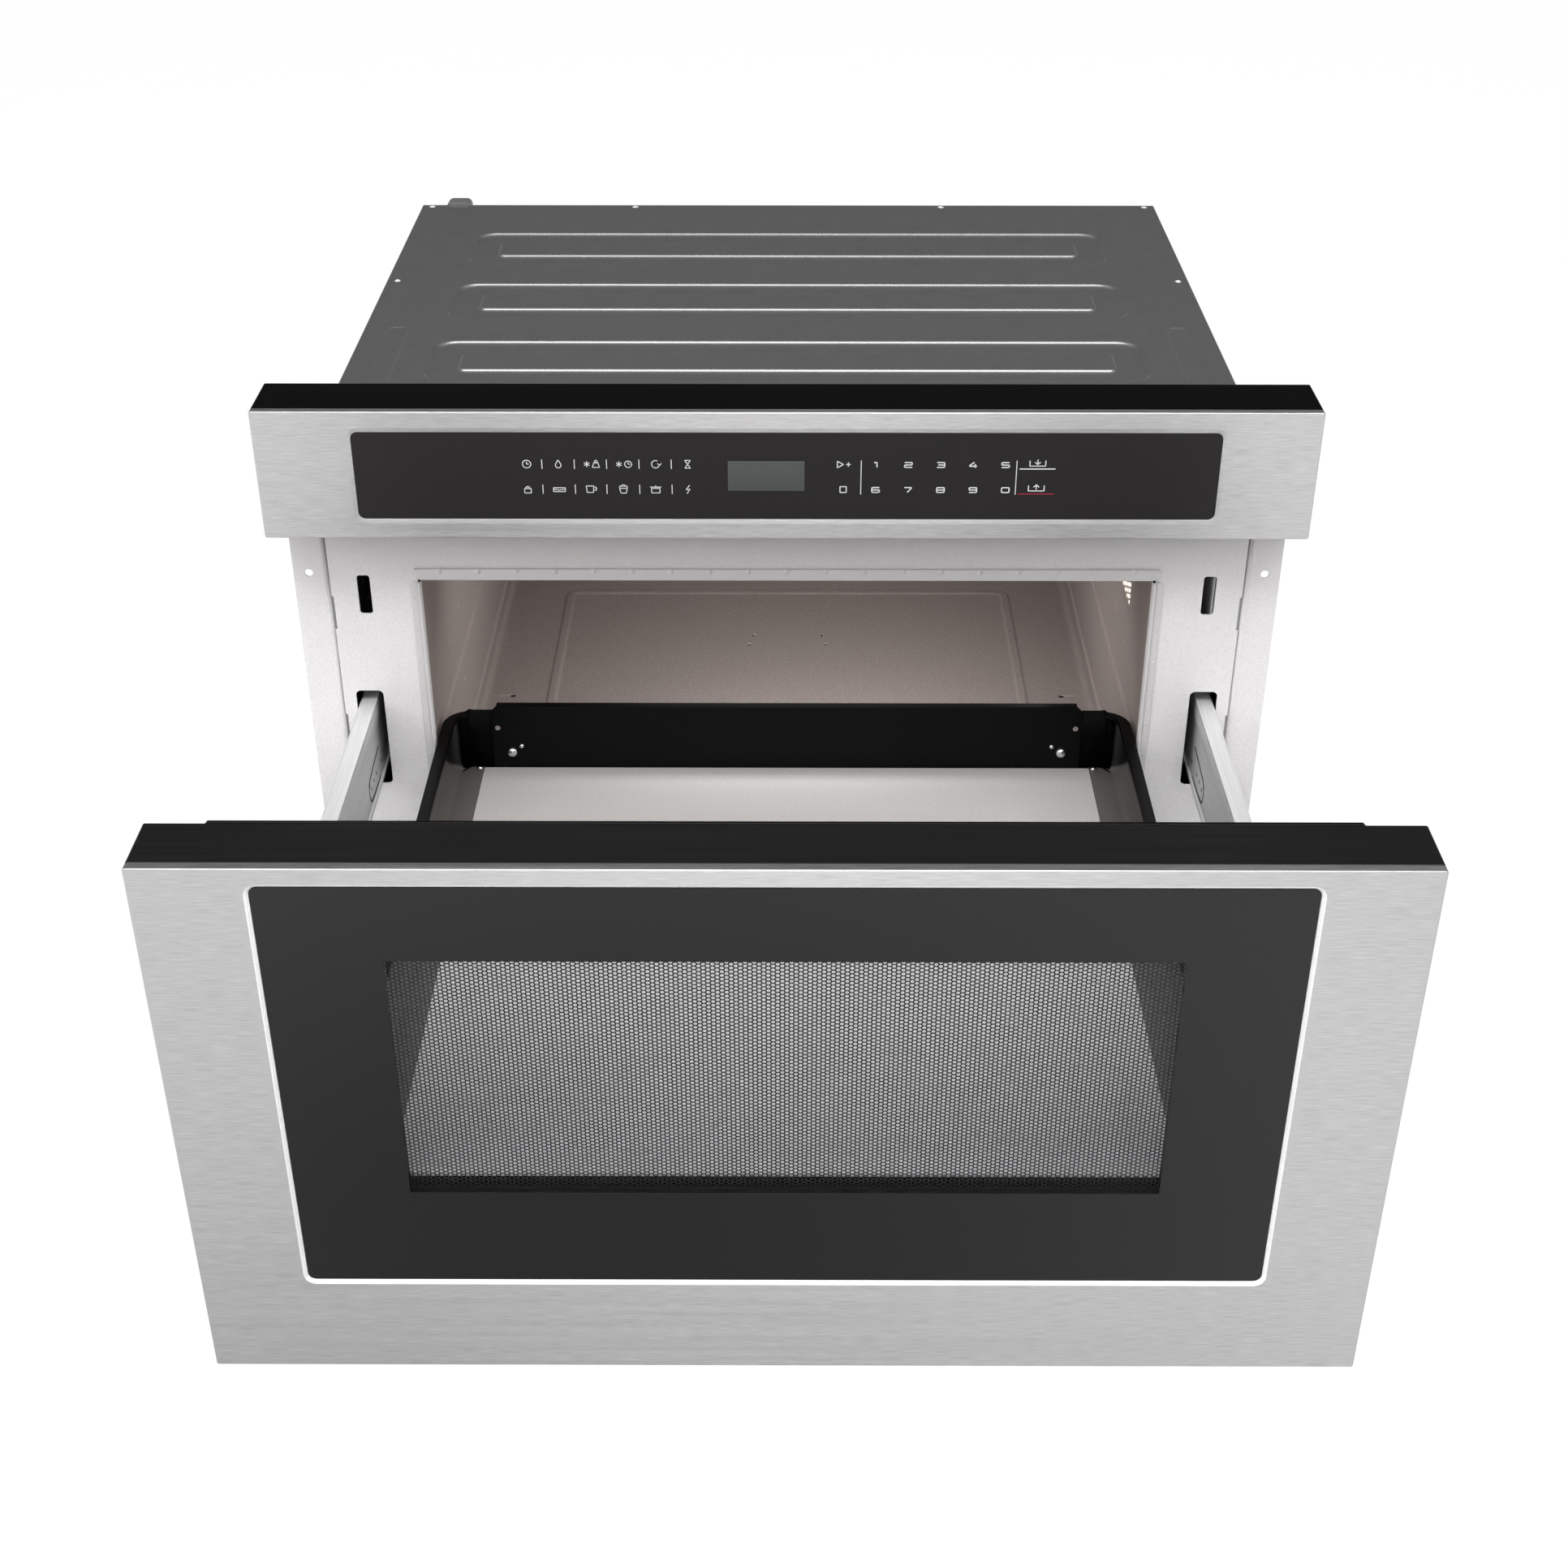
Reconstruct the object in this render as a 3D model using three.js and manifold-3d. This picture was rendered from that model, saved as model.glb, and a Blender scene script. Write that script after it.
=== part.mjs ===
// Built-in microwave drawer, shown open: a sheet-metal body with a cooking cavity, a control fascia above its
// mouth, and a drawer on two telescopic slides that a gear motor drives with a rack and pinion.
// Millimetres. X to the right, -Y to the front, +Z up. Origin: centre of the underside of the base pan.
// The drawer's pieces are drawn shut and their group is moved out by OPEN_TRAVEL.

import * as THREE from 'three';
import { mergeVertices } from 'three/addons/utils/BufferGeometryUtils.js';
import Module from 'manifold-3d';

const wasm = await Module();
wasm.setup();

// ---------- driving dimensions ----------

// clearances
const SEAT = 0.3; // between pieces that rest on each other
const RUN = 1.0; // around pieces that move
const SHEET = 1.2; // steel sheet of the body and the drawer

// cavity and the bays around it
const CAVITY_WIDTH = 449;
const CAVITY_DEPTH = 416.5;
const CAVITY_HEIGHT = 206.1;
const MOUTH_INSET = 1.3; // the cavity mouth is this much narrower than the cavity on each side
const MOUTH_DROP = 1.8; // the top of the mouth hangs this far below the ceiling
const MOUTH_BEAD_WIDTH = 7.2; // raised bead around the mouth
const MOUTH_BEAD_HEIGHT = 1.6;
const SIDE_BAY = 54.5; // cavity wall to the outside of a side panel
const BASE_BAY = 79.5; // underside of the body to the cavity floor
const TOP_BAY = 89.7; // cavity ceiling to the top of the body
const REAR_BAY = 36; // cavity back to the outside of the rear panel

// wall beads and the embossed frame of the cavity floor
const RIB_HEIGHTS = [14.1, 75.5]; // lower edge of each side wall bead above the floor
const RIB_WIDTH = 8;
const RIB_PROUD = 0.9;
const RIB_FRONT_SPACE = 12;
const RIB_REAR_SPACE = 8;
const FLOOR_FRAME_WIDTH = 358;
const FLOOR_FRAME_REAR_SPACE = 28;
const FLOOR_FRAME_FRONT_SPACE = 60;
const FLOOR_FRAME_LINE = 8.6;
const FLOOR_FRAME_PROUD = 0.8;
const FLOOR_FRAME_RADIUS = 16;
const FLOOR_HOLE_FROM_WALL = 20.5;
const FLOOR_HOLE_FROM_FRONT = 216;
const FLOOR_HOLE_RADIUS = 2.6;

// lamp grille in the right wall
const GRILLE_LENGTH = 60;
const GRILLE_HEIGHT = 42;
const GRILLE_FROM_FRONT = 78;
const GRILLE_ABOVE_FLOOR = 142;
const GRILLE_COLUMNS = 6;
const GRILLE_ROWS = 4;
const GRILLE_HOLE_RADIUS = 3.4;

// control fascia and drawer front
const FRONT_OVERHANG = 24.2; // fascia and drawer front beyond a side panel
const FASCIA_HEIGHT = 78.2;
const FASCIA_DEPTH = 44; // front plate to the face of the fascia
const PANEL_GAP = 10.8; // between the fascia and the shut drawer front
const DRAWER_FRONT_HEIGHT = 319.6;
const FLOOR_CLEAR = 1.5; // drawer front above the underside of the body
const DRAWER_FRONT_DEPTH = 39;
const SKIN = 0.8; // brushed steel skin
const SKIN_RETURN = 4.8; // folded edge of the skin
const SKIN_BEVEL = 2.6; // pressed bevel around the glass
const FRAME_WALL = 2.2; // walls of the black frames
const GLASS = 4;
const GLASS_RECESS = 0.8; // glass below the face of the skin
const FASCIA_GLASS_SIDE = 56; // steel left beside the control glass
const FASCIA_GLASS_TOP = 12.4;
const FASCIA_GLASS_BOTTOM = 12.2;
const FASCIA_GLASS_RADIUS = 5;
const DOOR_GLASS_SIDE = 56;
const DOOR_GLASS_TOP = 10.9;
const DOOR_GLASS_BOTTOM = 61.4;
const DOOR_GLASS_RADIUS = 6;

// display and control board
const DISPLAY_WIDTH = 44;
const DISPLAY_HEIGHT = 19.3;
const DISPLAY_OFFSET = -11.6; // centre of the display left of the middle
const DISPLAY_THICK = 6;
const SENSOR_BOARD = 1.6;
const BOARD_MARGIN = 6; // control glass beyond the control board
const POST_SIZE = 8;
const POSTS_FROM_MIDDLE = [70, 215];
const FASCIA_CABLE_HOLE = 10;

// window, screen and choke of the drawer front
const WINDOW_SIDE = 189; // half width of the clear window
const WINDOW_BOTTOM = 122.7; // above the lower edge of the drawer front
const WINDOW_HEIGHT = 144.2;
const SCREEN = 1;
const SCREEN_LAP = 4; // screen beyond the choke frame
const CHOKE_COVER = 2.7;
const CHOKE_COVER_WIDTH = 552;
const CHOKE_WALL = 1.2;
const PAN_CLEAR = 2.2; // choke frame around the pan
const CHOKE_HEADROOM = 111; // choke frame above the rim of the pan

// drawer pan, tray and back plate
const PAN_WIDTH = 444.4;
const PAN_LENGTH = 397.8;
const PAN_ABOVE_FLOOR = 45; // underside of the pan above the cavity floor
const PAN_HEIGHT = 46.1; // underside to the rim
const PAN_CORNER = 18;
const RIM_WIDTH = 7.7;
const RIM_REAR = 1.3;
const LEDGE_WIDTH = 22.8; // flat ledge beside the tray, from the outside of the pan
const LEDGE_STEP = 4; // the pan's middle below the ledge
const TRAY_THICK = 3.7;
const PAN_FRONT_RAIL = 4.3; // raised front edge of the pan, before the tray
const REAR_RETURN = 48; // pan's rear wall left beside the back plate opening
const BACK_PLATE_WIDTH = 384.8;
const BACK_PLATE_RISE = 5; // top of the back plate above the rim
const BACK_PLATE_RETURN = 5.6;
const BACK_PLATE_CHAMFER = 3.6;
const BRACKET_RISE = 3; // corner bracket above the rim
const BRACKET_SIDE = 26; // bracket's leg along the side wall
const BRACKET_REAR = 36; // bracket's leg along the rear wall
const DOME_SCREW_RADIUS = 3.6;
const DOME_SCREW_SPACING = 360;
const DOME_SCREW_ABOVE_PAN = 17;
const BACK_HOLE_SPACING = 377;
const BACK_HOLE_ABOVE_PAN = 35;
const BACK_HOLE_RADIUS = 1.6;

// telescopic slides
const OPEN_TRAVEL = 326.66;
const SLIDE_HEIGHT = 56.6; // middle member
const SLIDE_WIDTH = 10.9;
const SLIDE_BOTTOM = 61; // middle member above the cavity floor
const SLIDE_STEEL = 1.5;
const SLIDE_LIP = 16.4; // upper lip of the middle member
const SLIDE_LOWER_LIP = 4.5;
const SLIDE_BRACKET = 6.1; // spacer between a fixed member and the side panel
const SLIDE_BRACKET_LENGTH = 40;
const OUTER_LENGTH = 405;
const MIDDLE_LENGTH = 400;
const INNER_LENGTH = 394;
const SLOT_WIDTH = 17.2;
const SLOT_HEIGHT = 68.5;
const SLOT_RADIUS = 3;
const SLOT_BELOW_SLIDE = 3.7;

// latches
const HOOK_THICK = 4;
const HOOK_LENGTH = 30;
const HOOK_HEIGHT = 14;
const HOOK_NOTCH = 5;
const LATCH_SLOT_WIDTH = 7.8;
const LATCH_SLOT_HEIGHT = 26;
const LATCH_SLOT_RADIUS = 1.8;
const LATCH_ABOVE_FLOOR = 180.4; // bottom of the latch slot above the cavity floor
const LATCH_FROM_PANEL = 20.5; // middle of the latch slot to the outside of the side panel
const SWITCH_DEPTH = 34;
const SWITCH_HEIGHT = 32;

// drive
const TOOTH_MODULE = 2;
const PINION_TEETH = 15;
const GEAR_BACKLASH = 0.5;
const RACK_LENGTH = 416;
const RACK_WIDTH = 9;
const RACK_BODY = 9; // rack above its teeth
const RACK_UNDER_CAVITY = 12; // top of the rack below the cavity floor sheet
const PINION_FROM_PLATE = 36;
const PINION_WIDTH = 11;
const DRIVE_SHAFT_RADIUS = 4;
const GEARBOX_WIDTH = 46;
const GEARBOX_DEPTH = 56;
const DRIVE_MOTOR_RADIUS = 17;
const DRIVE_MOTOR_LENGTH = 52;

// shell
const FLANGE_WIDTH = 21.3;
const FLANGE_LEG = 28;
const FLANGE_HOLE_RADIUS = 2.5;
const FLANGE_HOLE_FROM_EDGE = 9.5;
const FLANGE_HOLE_HEIGHTS = [58, 172, 287.6];
const BASE_LIP = 14;
const BEAD_WIDTH = 457; // sunken ring beads of the top cover
const BEAD_DEPTH = 71;
const BEAD_PITCH = 112;
const BEAD_COUNT = 3;
const BEAD_LINE = 21;
const BEAD_FROM_REAR = 67.5;
const BEAD_RADIUS = 24;
const BEAD_SINK = 3;
const SIDE_BEAD_WIDTH = 18;
const SIDE_BEAD_LENGTH = 115;
const SIDE_BEAD_FROM_EDGE = 12.5;
const SIDE_BEAD_FROM_REAR = 265;
const SIDE_BEAD_SINK = 1.5;
const COVER_HOLE_RADIUS = 2.2;
const COVER_HOLE_FROM_EDGE = 6.5;
const COVER_REAR_HOLE_PITCH = [116.5, 271.5];
const COVER_SIDE_HOLE_FROM_REAR = 174;
const VENT_COUNT = 12;
const VENT_WIDTH = 5;
const VENT_HEIGHT = 44;
const VENT_PITCH = 12;
const INLET_WIDTH = 18.6;
const INLET_HEIGHT = 38;
const INLET_DEPTH = 14;
const INLET_FROM_MIDDLE = 252;

// microwave parts above the cavity
const STIRRER_WELL = 176;
const STIRRER_FROM_WALL = 196; // shaft to the left cavity wall
const STIRRER_WELL_HEIGHT = 26;
const STIRRER_COVER_LAP = 8;
const STIRRER_RADIUS = 70;
const STIRRER_BLADES = 4;
const STIRRER_BLADE_WIDTH = 32;
const STIRRER_HUB_WALL = 5;
const STIRRER_HUB_LENGTH = 11;
const STIRRER_MOTOR_RADIUS = 25;
const STIRRER_MOTOR_HEIGHT = 18;
const STIRRER_SHAFT_RADIUS = 3;
const WAVEGUIDE_WIDTH = 84;
const WAVEGUIDE_HEIGHT = 40;
const WAVEGUIDE_LENGTH = 116;
const MAGNETRON_WIDTH = 92;
const MAGNETRON_DEPTH = 74;
const MAGNETRON_HEIGHT = 68;
const MAGNETRON_FINS = 6;
const ANTENNA_RADIUS = 8;
const ANTENNA_LENGTH = 16;
const TRANSFORMER_WIDTH = 96;
const TRANSFORMER_DEPTH = 104;
const TRANSFORMER_HEIGHT = 66;
const CAPACITOR_LENGTH = 92;
const CAPACITOR_RADIUS = 17;
const POWER_PARTS_FROM_WALL = 8;
const TRANSFORMER_FROM_BACK = 24;
const WINDING_FROM_CORE = 14;
const WINDING_FROM_END = 22;
const WINDING_FROM_TOP = 12;
const CAPACITOR_FROM_TRANSFORMER = 16;
const CAPACITOR_FROM_BACK = 30;
const STRAP_FROM_END = 30;
const STRAP_WIDTH = 12;
const STRAP_EAR = 8;
const POWER_BOARD_WIDTH = 112;
const POWER_BOARD_DEPTH = 106;
const POWER_BOARD_FROM_FRONT = 10;
const BOARD_FOOT = 6;
const BOARD_FOOT_RADIUS = 3;
const BOARD_EDGE = 10; // board's edge to its parts
const RELAYS = 3;
const RELAY_PITCH = 30;
const RELAY_WIDTH = 20;
const RELAY_DEPTH = 24;
const RELAY_HEIGHT = 18;
const COIL_RADIUS = 16;
const COIL_HEIGHT = 22;
const COIL_FROM_SIDE = 32;
const COIL_FROM_FRONT = 38;
const HEAT_SINK_WIDTH = 24;
const HEAT_SINK_LENGTH = 60;
const HEAT_SINK_HEIGHT = 30;
const FAN_RADIUS = 32;
const FAN_HUB_RADIUS = 12;
const FAN_BLADES = 7;
const FAN_DEPTH = 18;
const FAN_HUB_LENGTH = 14;
const FAN_BLADE_CHORD = 16;
const FAN_BLADE_THICK = 2;
const FAN_SHAFT_RADIUS = 2.5;
const FAN_SHROUD_WIDTH = 96;
const FAN_MOTOR_RADIUS = 19;
const FAN_MOTOR_LENGTH = 26;
const LAMP_DEPTH = 26;

// ---------- places that follow from the dimensions ----------

const cavityHalf = CAVITY_WIDTH / 2;
const bodyHalf = cavityHalf + SIDE_BAY;
const frontHalf = bodyHalf + FRONT_OVERHANG;
const bodyDepth = SHEET + SEAT + CAVITY_DEPTH + REAR_BAY;
const plateY = -bodyDepth / 2; // face of the front plate
const plateBack = plateY + SHEET;
const rearY = bodyDepth / 2;
const cavityFrontY = plateBack + SEAT;
const cavityBackY = cavityFrontY + CAVITY_DEPTH;
const cavityFloorZ = BASE_BAY;
const cavityCeilingZ = cavityFloorZ + CAVITY_HEIGHT;
const bodyTopZ = cavityCeilingZ + TOP_BAY;
const coverUnderZ = bodyTopZ - SHEET;
const panelInner = bodyHalf - SHEET; // inside of a side panel
const ceilingTopZ = cavityCeilingZ + SHEET;
const benchZ = ceilingTopZ + SEAT; // where the parts above the cavity stand

const frontY = plateY - FASCIA_DEPTH; // face of the fascia and of the shut drawer
const doorBottomZ = FLOOR_CLEAR;
const doorTopZ = doorBottomZ + DRAWER_FRONT_HEIGHT;
const fasciaBottomZ = doorTopZ + PANEL_GAP;
const fasciaTopZ = fasciaBottomZ + FASCIA_HEIGHT;
const skinBackY = frontY + SKIN_RETURN;
const frameFrontY = skinBackY + SEAT;
const doorRearY = frontY + DRAWER_FRONT_DEPTH + SEAT + CHOKE_COVER;

const panHalf = PAN_WIDTH / 2;
const panBottomZ = cavityFloorZ + PAN_ABOVE_FLOOR;
const panRimZ = panBottomZ + PAN_HEIGHT;
const ledgeZ = panBottomZ + SHEET + LEDGE_STEP;
const screenY = frameFrontY + FRAME_WALL + SEAT;
const chokeFrontY = screenY + SCREEN + SEAT;
const panFrontY = chokeFrontY;
const panRearY = panFrontY + PAN_LENGTH;
const chokeHalf = panHalf + PAN_CLEAR;
const chokeBottomZ = panBottomZ - PAN_CLEAR;
const chokeTopZ = panRimZ + CHOKE_HEADROOM;

const slideOuterWebX = panelInner - SEAT - SLIDE_BRACKET; // outer side of a fixed member
const slideMiddleFarX = slideOuterWebX - SLIDE_STEEL - SEAT;
const slideMiddleNearX = slideMiddleFarX - SLIDE_WIDTH;
const slideBottomZ = cavityFloorZ + SLIDE_BOTTOM;
const slideTopZ = slideBottomZ + SLIDE_HEIGHT;

const latchX = bodyHalf - LATCH_FROM_PANEL;
const latchSlotZ = cavityFloorZ + LATCH_ABOVE_FLOOR;

const cavityUnderZ = cavityFloorZ - SHEET;
const rackTopZ = cavityUnderZ - RACK_UNDER_CAVITY;
const rackPitchZ = rackTopZ - RACK_BODY - TOOTH_MODULE;
const pinionPitchRadius = (TOOTH_MODULE * PINION_TEETH) / 2;
const pinionZ = rackPitchZ - pinionPitchRadius;
const pinionY = plateBack + PINION_FROM_PLATE;

// ---------- geometry helpers ----------

function toSolid(geometry) {
  const bare = geometry.index ? geometry.toNonIndexed() : geometry.clone();
  bare.deleteAttribute('normal');
  bare.deleteAttribute('uv');
  const merged = mergeVertices(bare, 1e-4);
  return new wasm.Manifold(new wasm.Mesh({
    numProp: 3,
    vertProperties: new Float32Array(merged.attributes.position.array),
    triVerts: new Uint32Array(merged.index.array),
  }));
}

function toGeometry(solid) {
  const mesh = solid.getMesh();
  const geometry = new THREE.BufferGeometry();
  geometry.setAttribute('position', new THREE.BufferAttribute(new Float32Array(mesh.vertProperties), 3));
  geometry.setIndex(new THREE.BufferAttribute(new Uint32Array(mesh.triVerts), 1));
  geometry.computeVertexNormals();
  return geometry;
}

// box between two x, two y and two z values, in either order
function block(xs, ys, zs) {
  const size = [xs, ys, zs].map(([a, b]) => Math.abs(b - a));
  const middle = [xs, ys, zs].map(([a, b]) => (a + b) / 2);
  return toSolid(new THREE.BoxGeometry(...size).translate(...middle));
}

function joined(...solids) {
  return solids.reduce((whole, solid) => whole.add(solid));
}

function cut(solid, ...tools) {
  return tools.reduce((rest, tool) => rest.subtract(tool), solid);
}

function outline(points) {
  return new THREE.Shape(points.map(([a, b]) => new THREE.Vector2(a, b)));
}

// rectangle with round corners, from the low corner to the high corner
function roundedOutline([lowA, lowB], [highA, highB], radius) {
  const shape = new THREE.Shape();
  shape.moveTo(lowA + radius, lowB);
  shape.lineTo(highA - radius, lowB);
  shape.absarc(highA - radius, lowB + radius, radius, -Math.PI / 2, 0, false);
  shape.lineTo(highA, highB - radius);
  shape.absarc(highA - radius, highB - radius, radius, 0, Math.PI / 2, false);
  shape.lineTo(lowA + radius, highB);
  shape.absarc(lowA + radius, highB - radius, radius, Math.PI / 2, Math.PI, false);
  shape.lineTo(lowA, lowB + radius);
  shape.absarc(lowA + radius, lowB + radius, radius, Math.PI, Math.PI * 1.5, false);
  return shape;
}

function extruded(shape, depth, segments) {
  return new THREE.ExtrudeGeometry(shape, { depth, bevelEnabled: false, curveSegments: segments });
}

// outline in x and y, raised along z
function prismZ(shape, z0, z1, segments = 4) {
  return toSolid(extruded(shape, z1 - z0, segments).translate(0, 0, z0));
}

// outline in x and z, carried along y
function prismY(shape, y0, y1, segments = 4) {
  return toSolid(extruded(shape, y1 - y0, segments).rotateX(Math.PI / 2).translate(0, y1, 0));
}

// outline in y and z, carried along x
function prismX(shape, x0, x1, segments = 4) {
  const turn = new THREE.Matrix4().makeBasis(
    new THREE.Vector3(0, 1, 0),
    new THREE.Vector3(0, 0, 1),
    new THREE.Vector3(1, 0, 0),
  );
  return toSolid(extruded(shape, x1 - x0, segments).applyMatrix4(turn).translate(x0, 0, 0));
}

// cylinders along each axis, from one end to the other
function rodZ(x, y, z0, z1, radius, sides = 24) {
  const rod = new THREE.CylinderGeometry(radius, radius, z1 - z0, sides).rotateX(Math.PI / 2);
  return toSolid(rod.translate(x, y, (z0 + z1) / 2));
}

function rodY(x, z, y0, y1, radius, sides = 24) {
  return toSolid(new THREE.CylinderGeometry(radius, radius, y1 - y0, sides).translate(x, (y0 + y1) / 2, z));
}

function rodX(y, z, x0, x1, radius, sides = 24) {
  const rod = new THREE.CylinderGeometry(radius, radius, x1 - x0, sides).rotateZ(Math.PI / 2);
  return toSolid(rod.translate((x0 + x1) / 2, y, z));
}

// two values on one side of the middle: side is -1 for left and 1 for right
function sideSpan(side, near, far) {
  return side > 0 ? [near, far] : [-far, -near];
}

// ---------- materials ----------

function finish(colour, roughness, metalness) {
  return new THREE.MeshStandardMaterial({ color: colour, roughness, metalness });
}

const brushedSteel = finish('#b9b7b6', 0.35, 1);
const blackPaint = finish('#121212', 0.45, 0.1);
const blackGlass = finish('#262525', 0.08, 0);
const greyDisplay = finish('#555a5a', 0.2, 0);
const whiteEnamel = finish('#dcdbd9', 0.5, 0.1);
const cavityEnamel = finish('#857a74', 0.55, 0.1);
const galvanised = finish('#6d6f70', 0.5, 0.8);
const slideSteel = finish('#c4c4c6', 0.35, 0.9);
const ceramic = finish('#c6c2bd', 0.5, 0);
const greenBoard = finish('#2e6b42', 0.6, 0);
const darkPlastic = finish('#202124', 0.55, 0);
const palePlastic = finish('#d8d6cf', 0.55, 0);
const copperWinding = finish('#9a5a2c', 0.45, 0.7);
const aluminium = finish('#b6b8ba', 0.4, 0.9);
const screwSteel = finish('#d5d5d5', 0.25, 1);

// ---------- assembly tree ----------

const drawerUnit = new THREE.Group();
const drawer = new THREE.Group();
const middleMembers = new THREE.Group();
drawer.position.y = -OPEN_TRAVEL;
middleMembers.position.y = -OPEN_TRAVEL / 2;
drawerUnit.add(drawer, middleMembers);

function place(parent, name, solid, material, position = [0, 0, 0]) {
  const mesh = new THREE.Mesh(toGeometry(solid), material);
  mesh.name = name;
  mesh.position.set(...position);
  parent.add(mesh);
  return mesh;
}

const SIDES = [['left', -1], ['right', 1]];

// ---------- shell ----------

// floor of the body: a tray with lips up the insides of the side panels
function basePan() {
  const half = panelInner - SEAT;
  const ys = [plateBack + SEAT, rearY - SHEET - SEAT];
  const plate = block([-half, half], ys, [0, SHEET]);
  const lips = SIDES.map(([, side]) => block(sideSpan(side, half - SHEET, half), ys, [0, BASE_LIP]));
  return joined(plate, ...lips);
}

function sidePanel(side) {
  return block(sideSpan(side, panelInner, bodyHalf), [plateBack + SEAT, rearY], [0, coverUnderZ - SEAT]);
}

// angle outside a side panel that the cabinet screws go through
function mountingFlange(side) {
  const near = bodyHalf + SEAT;
  const far = near + FLANGE_WIDTH;
  const zs = [FLOOR_CLEAR, coverUnderZ - SEAT];
  const face = block(sideSpan(side, near, far), [plateY, plateBack], zs);
  const leg = block(sideSpan(side, near, near + SHEET), [plateY, plateY + FLANGE_LEG], zs);
  const holeX = side * (far - FLANGE_HOLE_FROM_EDGE);
  const holes = FLANGE_HOLE_HEIGHTS.map(
    (z) => rodY(holeX, z, plateY - RUN, plateBack + RUN, FLANGE_HOLE_RADIUS, 12),
  );
  return cut(joined(face, leg), ...holes);
}

// lid with sunken ring beads, two sunken side beads and screw holes at its edges
function topCover() {
  const ys = [plateBack + SEAT, rearY];
  let lid = block([-bodyHalf, bodyHalf], ys, [coverUnderZ, bodyTopZ]);
  const sunk = (shapeOuter, shapeInner, depth) => {
    lid = joined(lid, prismZ(shapeOuter, coverUnderZ - depth, bodyTopZ));
    lid = cut(lid, prismZ(shapeInner, bodyTopZ - depth, bodyTopZ + RUN));
  };
  for (let index = 0; index < BEAD_COUNT; index += 1) {
    const far = rearY - BEAD_FROM_REAR - index * BEAD_PITCH;
    const near = far - BEAD_DEPTH;
    const half = BEAD_WIDTH / 2;
    const ring = (inset) => {
      const shape = roundedOutline(
        [-half + inset, near + inset],
        [half - inset, far - inset],
        BEAD_RADIUS - inset,
      );
      const island = BEAD_LINE - inset;
      shape.holes.push(roundedOutline(
        [-half + island, near + island],
        [half - island, far - island],
        BEAD_RADIUS - BEAD_LINE + inset,
      ));
      return shape;
    };
    sunk(ring(0), ring(SHEET), BEAD_SINK);
  }
  for (const [, side] of SIDES) {
    const beadOut = bodyHalf - SIDE_BEAD_FROM_EDGE;
    const [low, high] = sideSpan(side, beadOut - SIDE_BEAD_WIDTH, beadOut);
    const far = rearY - SIDE_BEAD_FROM_REAR;
    const near = far - SIDE_BEAD_LENGTH;
    const pocket = (inset) => roundedOutline([low + inset, near + inset], [high - inset, far - inset], SHEET + RUN);
    sunk(pocket(0), pocket(SHEET), SIDE_BEAD_SINK);
  }
  const holes = [];
  for (const [, side] of SIDES) {
    for (const x of COVER_REAR_HOLE_PITCH) {
      const y = rearY - COVER_HOLE_FROM_EDGE;
      holes.push(rodZ(side * x, y, coverUnderZ - RUN, bodyTopZ + RUN, COVER_HOLE_RADIUS, 10));
    }
    const x = side * (bodyHalf - COVER_HOLE_FROM_EDGE);
    const y = rearY - COVER_SIDE_HOLE_FROM_REAR;
    holes.push(rodZ(x, y, coverUnderZ - RUN, bodyTopZ + RUN, COVER_HOLE_RADIUS, 10));
  }
  return cut(lid, ...holes);
}

const fanX = cavityHalf - FAN_SHROUD_WIDTH;
const fanZ = (benchZ + coverUnderZ) / 2;

// rear wall with air slots behind the fan and a second field on the other side
function rearPanel() {
  const half = panelInner - SEAT;
  const wall = block([-half, half], [rearY - SHEET, rearY], [0, coverUnderZ - SEAT]);
  const slots = [];
  for (const [, side] of SIDES) {
    for (let index = 0; index < VENT_COUNT; index += 1) {
      const x = side * fanX + (index - (VENT_COUNT - 1) / 2) * VENT_PITCH;
      slots.push(block(
        [x - VENT_WIDTH / 2, x + VENT_WIDTH / 2],
        [rearY - SHEET - RUN, rearY + RUN],
        [fanZ - VENT_HEIGHT / 2, fanZ + VENT_HEIGHT / 2],
      ));
    }
  }
  return cut(wall, ...slots);
}

// small hood on the rear panel that the mains lead would leave through
function cordInlet() {
  const half = INLET_WIDTH / 2;
  const top = bodyTopZ - SHEET / 2;
  const ys = [rearY + SEAT, rearY + SEAT + INLET_DEPTH];
  const shell = block([-INLET_FROM_MIDDLE - half, -INLET_FROM_MIDDLE + half], ys, [top - INLET_HEIGHT, top]);
  const mouth = block(
    [-INLET_FROM_MIDDLE - half + 2 * SHEET, -INLET_FROM_MIDDLE + half - 2 * SHEET],
    [ys[0] - RUN, ys[1] - 2 * SHEET],
    [top - INLET_HEIGHT - RUN, top - 2 * SHEET],
  );
  return cut(shell, mouth);
}

const mouthHalf = cavityHalf - MOUTH_INSET;
const mouthTopZ = cavityCeilingZ - MOUTH_DROP;
const slotFarX = slideMiddleFarX + SLIDE_STEEL;

function mouthBead() {
  const shape = outline([
    [-mouthHalf - MOUTH_BEAD_WIDTH, cavityFloorZ],
    [mouthHalf + MOUTH_BEAD_WIDTH, cavityFloorZ],
    [mouthHalf + MOUTH_BEAD_WIDTH, mouthTopZ + MOUTH_BEAD_WIDTH],
    [-mouthHalf - MOUTH_BEAD_WIDTH, mouthTopZ + MOUTH_BEAD_WIDTH],
  ]);
  return prismY(shape, plateY - MOUTH_BEAD_HEIGHT, plateY);
}

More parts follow.
